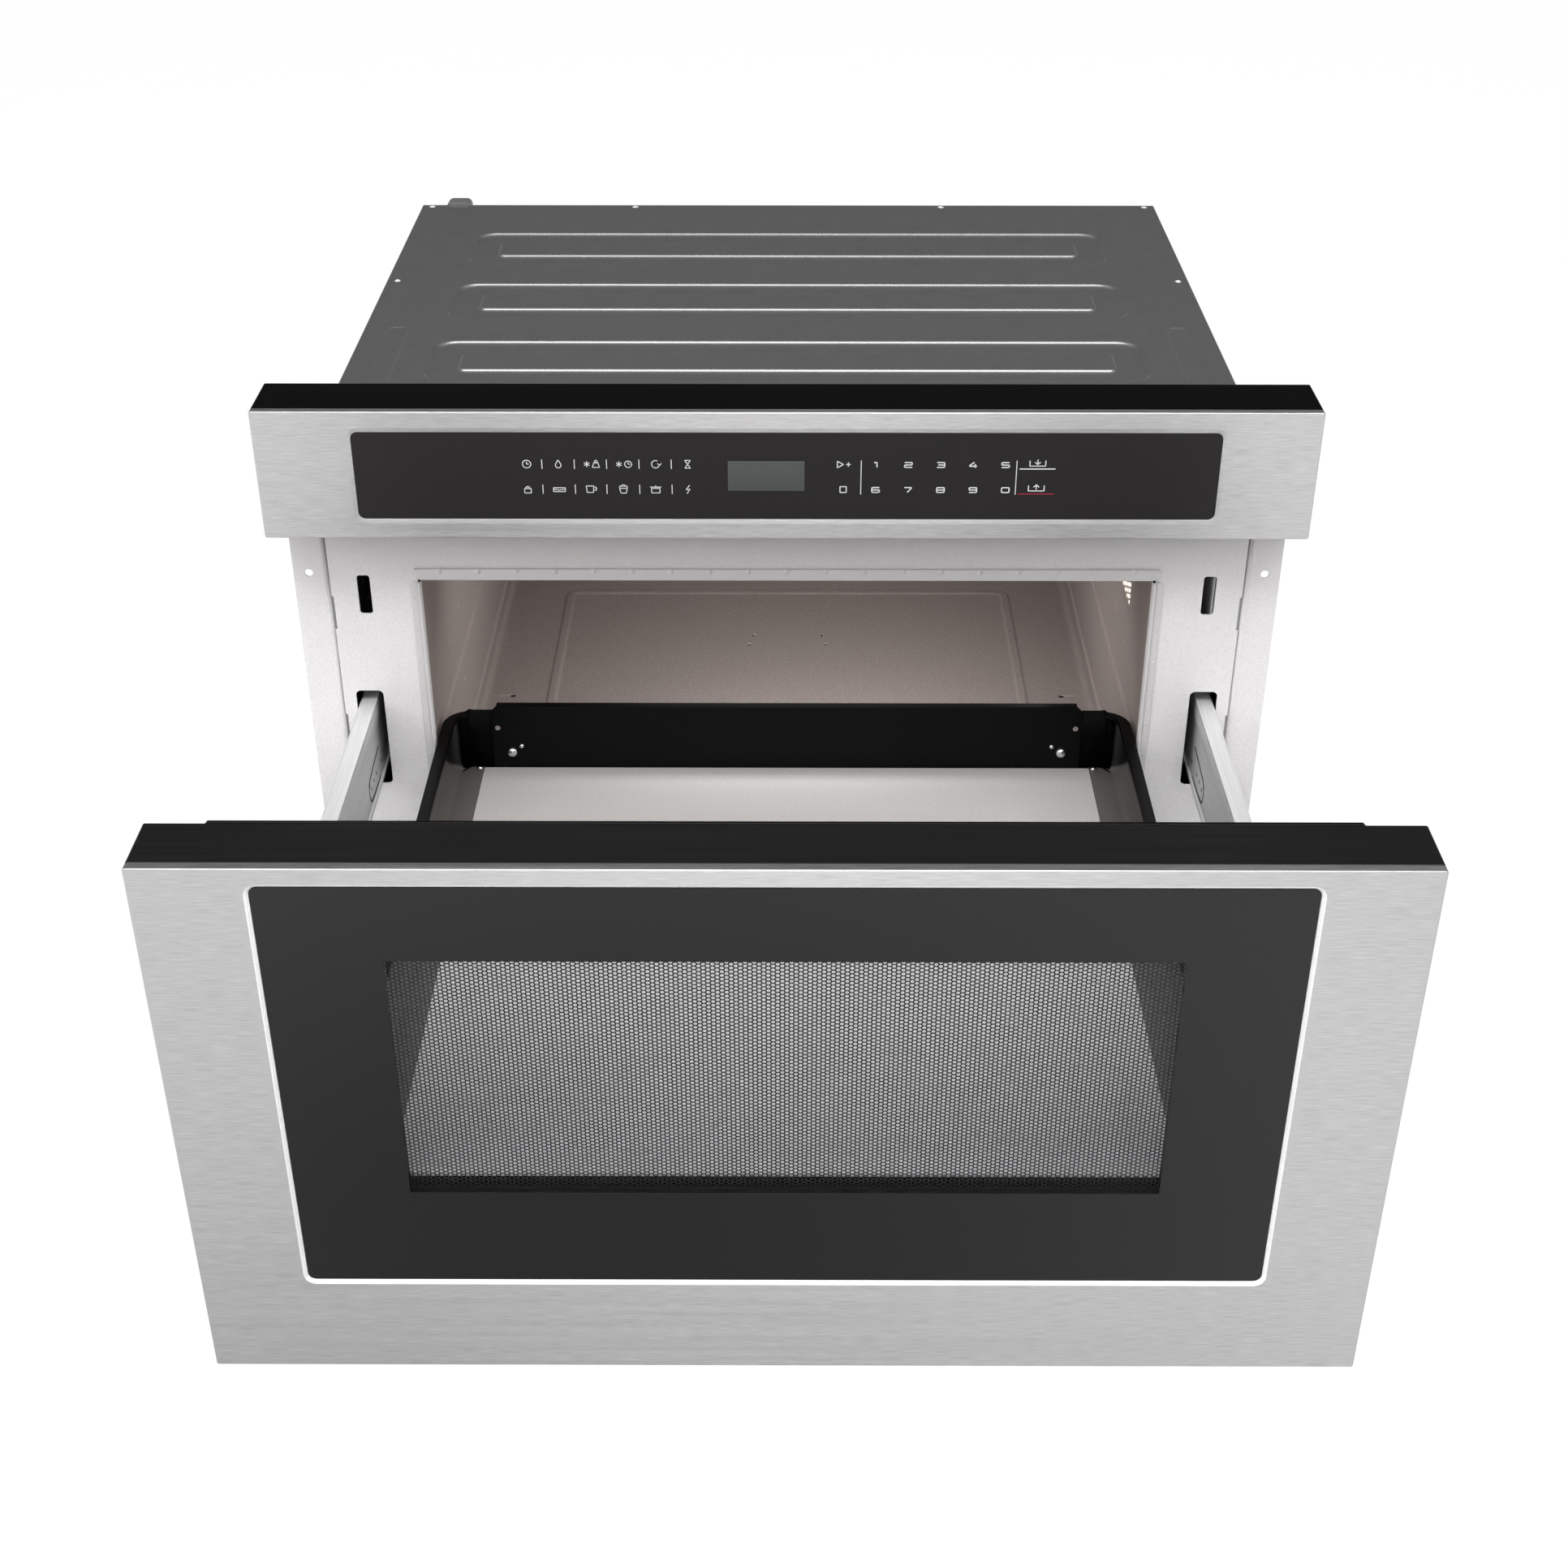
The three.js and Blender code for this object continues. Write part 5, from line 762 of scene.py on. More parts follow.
field, faces = hole_field(13, 10, 4.7, 4.2, 0.80, 0.80)
grille_middle = (sum(GRILLE_Y) / 2, sum(GRILLE_Z) / 2)
points = np.column_stack([np.full(len(field), CAVITY_HALF + 0.4), field + grille_middle])
thicken(piece("lamp_grille", (points, faces[:, ::-1]), cavity_enamel, "body"), 0.6)
diffuser, tree, shader = material("lit lamp diffuser", "#ffffff", roughness=0.6)
shader.inputs["Emission Color"].default_value = (1, 1, 1, 1)
shader.inputs["Emission Strength"].default_value = 5.0
behind_grille = rounded_loop(GRILLE_Y[0] - 3, GRILLE_Y[1] + 3, GRILLE_Z[0] - 3, GRILLE_Z[1] + 3, 2)
plate = side_sheet(behind_grille, [], CAVITY_HALF + 1.8, CAVITY_HALF + 3.0, 0.2)
piece("lamp_diffuser", plate, diffuser, "body")
lamp_place = ((CAVITY_HALF - 40) * MM, grille_middle[0] * MM, grille_middle[1] * MM)
softbox("cavity_lamp_light", lamp_place, (-0.10, 0.0, 0.15), (0.055, 0.04), 0.15)
softbox("cavity_fill_light", (0.0, -0.160, 0.272), (0.0, 0.16, 0.06), (0.20, 0.10), 0.95)

# Control fascia. A brushed stainless skin folded over a black steel cap; the skin has a pressed opening for
# the control glass, and the cap is screwed to the front plate.
steel, tree, shader = material("brushed stainless steel", "#d2d0d0", metallic=1.0, roughness=0.45)
# brushing runs across the front: scratches about 12 mm long, drawn 0.45 mm apart so that they show
scratches = object_noise(tree, 0.45, detail=2, stretch=(28, 2, 1))
streaks = object_noise(tree, 2.4, detail=2, stretch=(60, 2, 1))
vary_colour(tree, shader, scratches, "#b6b4b5", "#d3d2d3", 0.25, 0.75)
gloss = ramp(tree, streaks.outputs["Fac"], 0.3, 0.7, 0.42, 0.50)
tree.links.new(gloss, shader.inputs["Roughness"])
roughen(tree, shader, scratches, 0.12, 0.05)
# light spreads across the brushing: upright on the face, and from front to rear on the fold
across = put(tree, "ShaderNodeCombineXYZ", {"X": 0.0, "Y": 0.5, "Z": 1.0})
tree.links.new(across.outputs[0], shader.inputs["Tangent"])
upness = put(tree, "ShaderNodeSeparateXYZ", {0: put(tree, "ShaderNodeNewGeometry").outputs["Normal"]})
spread = ramp(tree, upness.outputs["Z"], 0.75, 0.95, 0.8, 0.0)
tree.links.new(spread, shader.inputs["Anisotropic"])
cap_paint, tree, shader = material("satin black paint", "#010101", roughness=0.30, Specular_IOR_Level=0.20)
roughen(tree, shader, object_noise(tree, 1.1, detail=2), 0.06, 0.03)

FRONT = -271.0
FRONT_HALF = 303.2
SKIN_FOLD = 4.8
SKIN_EDGE = 0.7


def folded_skin(z0, z1, glass, radius, pressed):
    """Skin as loops carried from the fold's back edge, round the front edge, across the face and down the rim
    into the opening. glass is (half width, low, high) and pressed the rim's (grow, depth) profile."""
    outer = [(0.0, SKIN_FOLD), (0.0, SKIN_EDGE)]
    turns = np.radians([30, 60, 90])
    outer += [(SKIN_EDGE * (1 - math.cos(a)), SKIN_EDGE * (1 - math.sin(a))) for a in turns]
    outer.append((SKIN_EDGE + 0.35, 0.0))
    loops = [
        rounded_loop(-FRONT_HALF + inset, FRONT_HALF - inset, z0 + inset, z1 - inset, max(1.2 - inset, 0.4))
        for inset, depth in outer
    ]
    half, low, high = glass
    for grow, depth in pressed:
        loops.append(rounded_loop(-half - grow, half + grow, low - grow, high + grow, radius + grow))
    return carried(loops, [FRONT + depth for inset, depth in outer + pressed])


FASCIA_Z = (331.9, 410.1)
FASCIA_GLASS = (247.2, 344.1, 397.7)
SOFT_RIM = [(2.9, 0.0), (2.4, 0.02), (0.3, 0.40), (0.08, 0.46), (0.0, 0.6), (0.0, 1.8)]
SKIN_WALL = 0.5
skin = folded_skin(*FASCIA_Z, FASCIA_GLASS, 4.0, SOFT_RIM)
skin = piece("fascia_steel", skin, steel, "body", ["fascia_skin"], crease=50)
even_shading(thicken(skin, SKIN_WALL))


def cap_loops(z0, z1, front, rear):
    """Outer loops of a cap with rounded edges, from front to rear, and their depths."""
    levels = [(0.9, 0.0), (0.45, 0.12), (0.12, 0.45), (0.0, 0.9)]
    steps = [(inset, front + depth) for inset, depth in levels]
    steps += [(inset, rear - depth) for inset, depth in reversed(levels)]
    half = FRONT_HALF
    loops = [rounded_loop(-half + inset, half - inset, z0 + inset, z1 - inset, 1.2) for inset, y in steps]
    return loops, [y for inset, y in steps]


CAP_FRONT = FRONT + SKIN_FOLD + 0.2
cap = carried_solid(*cap_loops(*FASCIA_Z, CAP_FRONT, PLATE_FRONT - 0.2))
even_shading(piece("fascia_cap", cap, cap_paint, "body", ["fascia_frame"]))

# Control glass. Black printed glass, flat and glossy, set just below the steel; a clear window in its print
# shows the unlit grey display.
control_black, tree, shader = material(
    "black printed glass", "#282627", roughness=0.30, Specular_IOR_Level=0.12,
)
vary_colour(tree, shader, object_noise(tree, 260, detail=1), "#272526", "#292728")
GLASS_FRONT = -FRONT - 0.42
GLASS_THICK = 3.2
DISPLAY_X = (-33.6, 10.4)
DISPLAY_Z = (362.0, 380.4)


def glass_pane(name, opening, window, front, edge, surface, stands_for, body, radius):
    """Pane in a skin's opening, 0.1 mm clear of it all round, with a window cut through its print."""
    half, low, high = opening
    outline = rounded_loop(-half + 0.1, half - 0.1, low + 0.1, high - 0.1, radius)
    pane = front_sheet(outline, [window], front - GLASS_THICK, front, edge)
    return even_shading(piece(name, pane, surface, body, [stands_for]))


glass_pane(
    "control_glass_panel", FASCIA_GLASS, rounded_loop(*DISPLAY_X, *DISPLAY_Z, 0.3, 2), GLASS_FRONT, 0.2,
    control_black, "control_glass", "body", 3.9,
)
display_grey, tree, shader = material(
    "unlit display film", "#4c4c4c", roughness=0.30, Specular_IOR_Level=0.12,
)
fade = ramp(tree, object_part(tree, "Z"), DISPLAY_Z[0] * MM, DISPLAY_Z[1] * MM)
blend(tree, shader, fade, "#4a4c4c", "#525454")
(x0, x1), (z0, z1) = DISPLAY_X, DISPLAY_Z
display = front_sheet(
    rounded_loop(x0 + 0.05, x1 - 0.05, z0 + 0.05, z1 - 0.05, 0.3, 2), [],
    GLASS_FRONT - GLASS_THICK, GLASS_FRONT - 0.05, 0.05,
)
piece("display_window", display, display_grey, "body", ["display_module"])

# Printed keys. White ink on the control glass: ten wide digits, plain signs for the programmes, thin rules
# between them, and a white and a red rule under the signs that open and shut the drawer.
ink, tree, shader = material("white screen ink", "#cfcfcf", roughness=0.5)
red_ink, tree, shader = material("red screen ink", "#8e1c2c", roughness=0.5)
INK_THICK = 0.04


def ribbon(line, width, closed=False):
    """Flat band along a line: two points beside each of its points, half a width to each side."""
    line = np.asarray(line, float)
    if closed:
        before, after = line - np.roll(line, 1, axis=0), np.roll(line, -1, axis=0) - line
    else:
        steps = np.diff(line, axis=0)
        before, after = np.vstack([steps[:1], steps]), np.vstack([steps, steps[-1:]])
    before = before / np.maximum(np.linalg.norm(before, axis=1, keepdims=True), 1e-9)
    after = after / np.maximum(np.linalg.norm(after, axis=1, keepdims=True), 1e-9)
    normal = np.stack([-(before[:, 1] + after[:, 1]), before[:, 0] + after[:, 0]], -1)
    length = np.maximum(np.linalg.norm(normal, axis=1, keepdims=True), 1e-9)
    normal = normal / length / np.maximum(length / 2, 0.5) * width / 2
    points = np.stack([line + normal, line - normal], axis=1).reshape(-1, 2)
    grid = quads(len(line) + (1 if closed else 0), 2)[:, ::-1]
    return points, grid % len(points)


def softened(line, radius, closed=False, steps=4):
    """The line with each corner replaced by a curve that starts and ends a radius from it."""
    line = np.asarray(line, float)
    out = [] if closed else [line[:1]]
    turns = range(len(line)) if closed else range(1, len(line) - 1)
    t = np.linspace(0, 1, steps)[:, None]
    for i in turns:
        a, b, c = line[i - 1], line[i], line[(i + 1) % len(line)]
        reach_a, reach_c = np.linalg.norm(a - b), np.linalg.norm(c - b)
        start = b + (a - b) * min(radius / reach_a, 0.5)
        end = b + (c - b) * min(radius / reach_c, 0.5)
        out.append((1 - t) ** 2 * start + 2 * t * (1 - t) * b + t ** 2 * end)
    if not closed:
        out.append(line[-1:])
    return np.concatenate(out)


# each digit: lines in a box 1 wide and 1 high, (points, closed)
DIGITS = {
    "0": [([(0, 0), (1, 0), (1, 1), (0, 1)], True)],
    "1": [([(0.25, 1), (0.62, 1), (0.62, 0)], False)],
    "2": [([(0, 1), (1, 1), (1, 0.5), (0, 0.5), (0, 0), (1, 0)], False)],
    "3": [([(0, 1), (1, 1), (1, 0), (0, 0)], False), ([(0.15, 0.5), (0.91, 0.5)], False)],
    "4": [([(0.66, 1.05), (0, 0.32)], False), ([(0, 0.25), (1, 0.25)], False),
          ([(0.78, 0.68), (0.78, -0.05)], False)],
    "5": [([(1, 1), (0, 1), (0, 0.5), (1, 0.5), (1, 0), (0, 0)], False)],
    "6": [([(1, 1), (0, 1), (0, 0), (1, 0), (1, 0.5), (0.09, 0.5)], False)],
    "7": [([(0, 1), (1, 1), (0.42, 0)], False)],
    "8": [([(0, 0), (1, 0), (1, 1), (0, 1)], True), ([(0.09, 0.5), (0.91, 0.5)], False)],
    "9": [([(0, 0), (1, 0), (1, 1), (0, 1), (0, 0.5), (0.91, 0.5)], False)],
}
# each sign: lines in millimetres about its middle, (points, closed)
clock = [(arc(0, 0, 2.4, 0, 345), True), ([(0, 1.5), (0, 0), (1.2, 0)], False)]
flake = [([(-1.8 * math.cos(a), -1.8 * math.sin(a)), (1.8 * math.cos(a), 1.8 * math.sin(a))], False)
         for a in np.radians([30, 90, 150])]
SIGNS = {
    "clock": clock,
    "drop": [([(0, 2.6), (1.5, 0), (1.6, -1.0), (0.9, -2.2), (-0.9, -2.2), (-1.6, -1.0), (-1.5, 0)], True)],
    "flake_weight": [(np.array(line) + [-2.2, 0], shut) for line, shut in flake]
    + [([(1.0, -2.0), (5.0, -2.0), (4.2, 0.8), (1.8, 0.8)], True), (arc(3.0, 1.6, 0.8, 0, 330, 8), True)],
    "flake_time": [(np.array(line) + [-2.2, 0], shut) for line, shut in flake]
    + [(arc(3.0, 0, 2.0, 0, 345), True), ([(3.0, 1.2), (3.0, 0), (4.0, 0)], False)],
    "again": [(arc(0, 0, 2.3, 60, 350), False), ([(3.4, 0.6), (2.3, -0.6), (1.1, 0.5)], False)],
    "glass_timer": [([(-1.6, 2.4), (1.6, 2.4), (-1.6, -2.4), (1.6, -2.4)], True)],
    "lock": [([(-1.9, -2.4), (1.9, -2.4), (1.9, 0.3), (-1.9, 0.3)], True),
             (arc(0, 0.4, 1.2, 0, 180, 8), False)],
    "butter": [([(-3.4, -1.5), (3.4, -1.5), (3.4, 0.9), (-3.4, 0.9)], True),
               ([(-3.4, 0), (0, -0.6), (3.4, 0)], False)],
    "cup": [([(-2.6, 2.0), (-2.2, -2.0), (1.4, -2.0), (1.8, 2.0)], True),
            (arc(2.0, 0.3, 1.2, -80, 80, 7), False)],
    "tub": [([(-2.2, 0.6), (-1.5, -2.4), (1.5, -2.4), (2.2, 0.6)], True),
            (arc(-1.2, 1.2, 1.0, 20, 200, 7), False), (arc(0, 1.7, 1.0, 0, 180, 7), False),
            (arc(1.2, 1.2, 1.0, -20, 160, 7), False)],
    "pot": [([(-2.4, 0.6), (-2.4, -2.2), (2.4, -2.2), (2.4, 0.6)], True),
            ([(-3.2, 1.4), (3.2, 1.4)], False), ([(0, 1.4), (0, 2.4)], False)],
    "bolt": [([(0.8, 2.6), (-1.3, -0.3), (1.0, 0.2), (-0.8, -2.7)], False)],
    "start": [([(-1.6, -2.0), (1.9, 0), (-1.6, 2.0)], True), ([(3.4, 0), (6.0, 0)], False),
              ([(4.7, 1.3), (4.7, -1.3)], False)],
    "stop": [([(-1.8, -1.8), (1.8, -1.8), (1.8, 1.8), (-1.8, 1.8)], True)],
    "out": [([(-4.5, 1.8), (-4.5, -1.6), (4.5, -1.6), (4.5, 1.8)], False), ([(0, 2.4), (0, -0.6)], False),
            ([(-1.6, 0.8), (0, -0.7), (1.6, 0.8)], False)],
    "in": [([(-4.5, 1.8), (-4.5, -1.6), (4.5, -1.6), (4.5, 1.8)], False), ([(0, -0.8), (0, 2.2)], False),
           ([(-1.6, 0.7), (0, 2.3), (1.6, 0.7)], False)],
}
UPPER_ROW, LOWER_ROW = 378.4, 362.9
DIGIT_SIZE = (4.3, 3.0)
SIGN_STROKE, DIGIT_STROKE, RULE_WIDTH = 0.5, 0.72, 0.5
marks = []


def mark(line, x, z, width, closed=False, soft=0.0):
    """Adds an ink band at a place on the glass, with its corners softened by a radius."""
    line = np.asarray(line, float) + [x, z]
    if soft:
        line = softened(line, soft, closed)
    marks.append(ribbon(line, width, closed))


upper_signs = zip((-148.2, -130.2, -111.7, -93.3, -74.7, -56.4),
                  ("clock", "drop", "flake_weight", "flake_time", "again", "glass_timer"))
lower_signs = zip((-148.4, -130.3, -112.2, -93.5, -75.0, -56.3),
                  ("lock", "butter", "cup", "tub", "pot", "bolt"))
for row, signs in ((UPPER_ROW, upper_signs), (LOWER_ROW, lower_signs)):
    for x, sign in signs:
        for line, closed in SIGNS[sign]:
            mark(line, x, row, SIGN_STROKE, closed, soft=0.3)
for row, places in ((UPPER_ROW, (-139.5, -121.0, -102.6, -84.1, -65.7)),
                    (LOWER_ROW, (-139.7, -121.1, -103.0, -84.2, -65.6))):
    for x in places:
        mark([(0, -2.9), (0, 2.9)], x, row, RULE_WIDTH)
for row, digits, places in ((UPPER_ROW, "12345", (51.1, 69.5, 88.0, 106.4, 124.9)),
                            (LOWER_ROW, "67890", (51.1, 69.7, 88.3, 106.9, 125.5))):
    for digit, x in zip(digits, places):
        for line, closed in DIGITS[digit]:
            line = (np.array(line) - 0.5) * DIGIT_SIZE
            mark(line, x, row - 0.2, DIGIT_STROKE, closed, soft=0.7)
for x, row, sign in ((30.6, UPPER_ROW, "start"), (32.5, LOWER_ROW, "stop"), (143.2, UPPER_ROW + 0.8, "out"),
                     (143.2, LOWER_ROW + 0.9, "in")):
    for line, closed in SIGNS[sign]:
        mark(line, x, row, SIGN_STROKE + 0.1, closed, soft=0.3)
for x in (42.4, 131.1):
    mark([(0.2, -18.6), (0.2, 2.5)], x, UPPER_ROW, RULE_WIDTH)
mark([(-10.2, 0), (10.2, 0)], 143.2, UPPER_ROW - 2.6, 0.7)


def printed(name, bands, surface):
    """Ink bands as one thin layer on the control glass, each 0.01 mm off the next so that crossings show."""
    layers = []
    for order, (points, grid) in enumerate(bands):
        height = GLASS_FRONT + INK_THICK + 0.01 * (order % 4)
        layers.append((np.column_stack([points, np.full(len(points), height)]), grid))
    piece(name, facing_front(joined(*layers)), surface, "body")


printed("printed_keys", marks, ink)
marks = []
mark([(-10.4, 0), (10.4, 0)], 143.2, LOWER_ROW - 2.6, 0.7)
printed("printed_close_rule", marks, red_ink)

# Slides. Zinc-plated steel channels 57 mm high; the middle member holds the inner one between its lips, and
# black release levers lie in the slots stamped through the inner member's web.
zinc, tree, shader = material("bright zinc plate", "#d8d8d9", metallic=0.2, roughness=0.38)
rolled = object_noise(tree, 2.0, detail=2, stretch=(1, 30, 1))
vary_colour(tree, shader, rolled, "#d2d2d3", "#dedede", 0.3, 0.7)
roughen(tree, shader, object_noise(tree, 1.2, detail=2), 0.08, 0.05)
black_plastic, tree, shader = material("moulded black plastic", "#222326", roughness=0.55)
roughen(tree, shader, object_noise(tree, 0.8, detail=1), 0.15, 0.05)
SLIDE_LOW, SLIDE_HIGH = 140.5, 197.1
MIDDLE_NEAR, MIDDLE_FAR = 258.7, 269.6
MIDDLE_Y = (-225.2, 174.8)
INNER_Y = (-228.7, 165.3)
INNER_Z = (142.4, 195.2)
WEB_X, INNER_FLANGE_X, LEVER_X = (260.5, 262.0), (261.8, 267.5), (260.4, 262.3)
FIXED_Y = (-204.0, 179.5)
FIXED_LINE = [(259.15, 198.15), (270.65, 198.15), (270.65, 139.45), (259.15, 139.45)]
SLIDE_STEEL = 1.5
LEVER_LINE = [(97.8, 166.2), (62.0, 161.8), (57.5, 157.0), (59.4, 147.2), (72.0, 145.6), (97.0, 144.9)]
LEVER_HOLES = ((102.4, 152.6), (83.3, 154.3), (74.3, 154.6), (65.0, 154.2))


def band_loop(line, width):
    """Closed loop round a band along a line."""
    band, _ = ribbon(line, width)
    return np.concatenate([band[0::2], band[1::2][::-1]])


def channel(line, thick, y0, y1):
    """A bent strip: its section is a line given a thickness, carried along y, with flat ends."""
    section = band_loop(softened(line, 1.6), thick)
    count = len(section)
    points, walls = carried([section, section], (y0, y1))
    ends = [[i, i + 1, count - 2 - i, count - 1 - i] for i in range(count // 2 - 1)]
    ends += [[count + corner for corner in face[::-1]] for face in ends]
    return points, list(walls[:, ::-1]) + ends


def on_side(shape, side):
    """A shape made for the right, or its mirror image for side -1, with its faces turned to match."""
    points, faces = shape
    if side > 0:
        return points, faces
    return points * [-1, 1, 1], [list(face)[::-1] for face in faces]


for name, side in SIDES:
    half_wall = SLIDE_STEEL / 2
    low, high = SLIDE_LOW + half_wall, SLIDE_HIGH - half_wall
    near, far = MIDDLE_NEAR + half_wall, MIDDLE_FAR - half_wall
    # the lip is pressed against the top flange and leaves a dark line along the bend
    bent = [(near - 0.5, high), (far, high), (far, low), (near, low), (near, low + 3.7)]
    lip = [(near + 1.0, high - 15.6), (near + 0.5, high - 12.0), (near, high - 7.5), (near, high - 1.6)]
    middle = on_side(joined(channel(bent, SLIDE_STEEL, *MIDDLE_Y), channel(lip, 0.9, *MIDDLE_Y)), side)
    even_shading(piece(
        f"slide_middle_member_{name}", middle, zinc, "middle_slides", [f"slide_middle_{name}"],
    ))
    shapes = [side_sheet(rounded_loop(*INNER_Y, *INNER_Z, 1.0, 2), [], *WEB_X, 0.2)]
    for edge in (INNER_Z[0], INNER_Z[1] - SLIDE_STEEL):
        flange = rounded_loop(*INNER_Y, edge, edge + SLIDE_STEEL, 0.4, 2)
        shapes.append(side_sheet(flange, [], *INNER_FLANGE_X, 0.2))
    inner = on_side(joined(*shapes), side)
    even_shading(piece(
        f"slide_inner_member_{name}", inner, zinc, "drawer", [f"slide_inner_{name}"],
    ))
    # the lever's black plastic fills the web's slots and stands 0.1 mm out of them towards the drawer
    slots = [band_loop(softened(LEVER_LINE, 4), 1.8)] + [arc(*hole, 1.2, 0, 315, 8) for hole in LEVER_HOLES]
    lever = on_side(joined(*[side_sheet(loop, [], *LEVER_X, 0.05) for loop in slots]), side)
    piece(f"slide_release_lever_{name}", lever, black_plastic, "drawer")
    fixed = on_side(channel(FIXED_LINE, SLIDE_STEEL, *FIXED_Y), side)
    piece(f"slide_fixed_member_{name}", fixed, zinc, "body", [f"slide_outer_{name}"])

# Drawer front. The same brushed steel skin, folded over a hollow black steel cap and pressed in to a bevelled
# rim round the opening for the dark glass.
DOOR_Z = (1.5, 321.1)
DOOR_GLASS = (247.2, 62.9, 310.2)
DOOR_BACK = -232.0
BEVELLED_RIM = [(2.6, 0.0), (2.1, 0.0), (1.8, 0.07), (1.55, 0.24), (0.32, 1.42), (0.12, 1.75), (0.0, 2.4)]
skin = folded_skin(*DOOR_Z, DOOR_GLASS, 4.2, BEVELLED_RIM)
skin = piece("drawer_steel", skin, steel, "drawer", ["door_skin"], crease=50)
# painted highlight: the rim is a paler, less metallic copy of the brushed steel, so that its bevel shows
# bright
rim_steel_painted_highlight, tree, shader = material("pressed rim with painted highlight", "#f0efef", metallic=0.35, roughness=0.35)
roughen(tree, shader, object_noise(tree, 0.9, detail=1), 0.04, 0.02)
skin.data.materials.append(rim_steel_painted_highlight)
# the first rows of quads are the fold and the face, and the rest is the pressed rim
ROWS_BEFORE_RIM = 7
columns = len(rounded_loop(0, 9, 0, 9, 1))
on_rim = np.arange(len(skin.data.polygons)) >= ROWS_BEFORE_RIM * columns
skin.data.polygons.foreach_set("material_index", on_rim.astype(np.int32))
even_shading(thicken(skin, SKIN_WALL))

WINDOW = (-189.0, 189.0, 123.0, 267.9)


def hollow_cap(z0, z1, opening, front, rear, wall):
    """Frame with rounded outer edges: a cap's loops, then inner loops back through the opening."""
    loops, ys = cap_loops(z0, z1, front, rear)
    inner = rounded_loop(-FRONT_HALF + wall, FRONT_HALF - wall, z0 + wall, z1 - wall, 1.0)
    window = rounded_loop(*opening, 1.5)
    loops += [inner, inner, window, window, loops[0]]
    ys += [rear, front + wall, front + wall, front, ys[0]]
    points, faces = carried(loops, ys)
    return points, faces[:, ::-1]


# painted sheen: the drawer's black paint is the fascia cap's paint drawn lighter, for the light its top
# catches, with faint streaks along it
wear_and_painted_sheen_black, tree, shader = material("satin black paint on the drawer", "#111111", roughness=0.36, IOR=1.5)
vary_colour(tree, shader, object_noise(tree, 3, detail=3, stretch=(40, 1, 1)), "#0f0f0f", "#151515")
opening = np.array(WINDOW) + [-0.6, 0.6, -0.6, 0.6]
cap = hollow_cap(*DOOR_Z, opening, CAP_FRONT, DOOR_BACK, 2.2)
even_shading(piece("drawer_cap", cap, wear_and_painted_sheen_black, "drawer", ["door_frame"]))

# Drawer glass. One dark glass pane: its back is printed black round a clear window, so that the border is
# opaque and glossy and the window lets the perforated screen show.
DOOR_GLASS_FRONT = -FRONT - 1.5
printed_glass, tree, shader = material("glass printed black behind", "#0e0e0e", roughness=0.06, IOR=1.43)
vary_colour(tree, shader, object_noise(tree, 260, detail=1), "#0d0d0d", "#0f0f0f")
clear_glass = bpy.data.materials.new("clear window glass")
clear_glass.use_nodes = True
tree = clear_glass.node_tree
tree.nodes.clear()
through = put(tree, "ShaderNodeBsdfTransparent", {"Color": (0.95, 0.96, 0.97, 1)})
mirror = put(tree, "ShaderNodeBsdfGlossy", {"Color": (1, 1, 1, 1), "Roughness": 0.05})
edge_on = put(tree, "ShaderNodeFresnel", {"IOR": 1.40})
behind = put(tree, "ShaderNodeNewGeometry").outputs["Backfacing"]
in_front = maths(tree, "SUBTRACT", 1.0, behind)
# the window is coated against glare and mirrors little
coated = maths(tree, "MULTIPLY", edge_on.outputs[0], 0.15)
share = maths(tree, "MULTIPLY", coated, in_front)
both = put(tree, "ShaderNodeMixShader", {0: share, 1: through.outputs[0], 2: mirror.outputs[0]})
put(tree, "ShaderNodeOutputMaterial", {"Surface": both.outputs[0]})
glass_pane(
    "drawer_glass_border", DOOR_GLASS, rounded_loop(*WINDOW, 0.6, 3), DOOR_GLASS_FRONT, 0.05, printed_glass,
    "door_glass", "drawer", 4.1,
)
window = rounded_loop(*(np.array(WINDOW) + [0.02, -0.02, 0.02, -0.02]), 0.6, 3)
pane = front_sheet(window, [], DOOR_GLASS_FRONT - GLASS_THICK, DOOR_GLASS_FRONT, 0.01)
piece("drawer_glass_window", pane, clear_glass, "drawer")

# Perforated screen. Thin steel sheet punched full of small six-sided holes and painted black, which keeps the
# microwaves in; its plain margin is held behind the glass.
screen_paint, tree, shader = material("black screen paint", "#2c2c2c", roughness=0.6, Specular_IOR_Level=0.2)
vary_colour(tree, shader, object_noise(tree, 3, detail=1), "#292929", "#2f2f2f")
SCREEN_Y = -263.4
HOLE_COLUMNS, HOLE_ROWS = 172, 67
SCREEN_LOW = 121.11
SCREEN_EDGES = (-229.0, 229.0, 117.2, 286.0)
HOLE_PITCH = (2.21, 2.23)
field, faces = hole_field(HOLE_COLUMNS, HOLE_ROWS, *HOLE_PITCH, 0.71, 0.70)
field_middle = SCREEN_LOW + HOLE_ROWS * HOLE_PITCH[1] / 2
points = np.column_stack([field[:, 0], np.full(len(field), SCREEN_Y), field[:, 1] + field_middle])
piece("screen_holes", (points, faces), screen_paint, "drawer")
field_half = HOLE_COLUMNS * HOLE_PITCH[0] / 2 - 0.6
field_reach = HOLE_ROWS * HOLE_PITCH[1] / 2 - 0.5
margin = front_sheet(
    rounded_loop(*SCREEN_EDGES, 2, 3),
    [rounded_loop(-field_half, field_half, field_middle - field_reach, field_middle + field_reach, 1, 2)],
    -SCREEN_Y - 0.9, -SCREEN_Y - 0.1, 0.1,
)
even_shading(piece("screen_margin", margin, cap_paint, "drawer", ["perforated_screen"]))


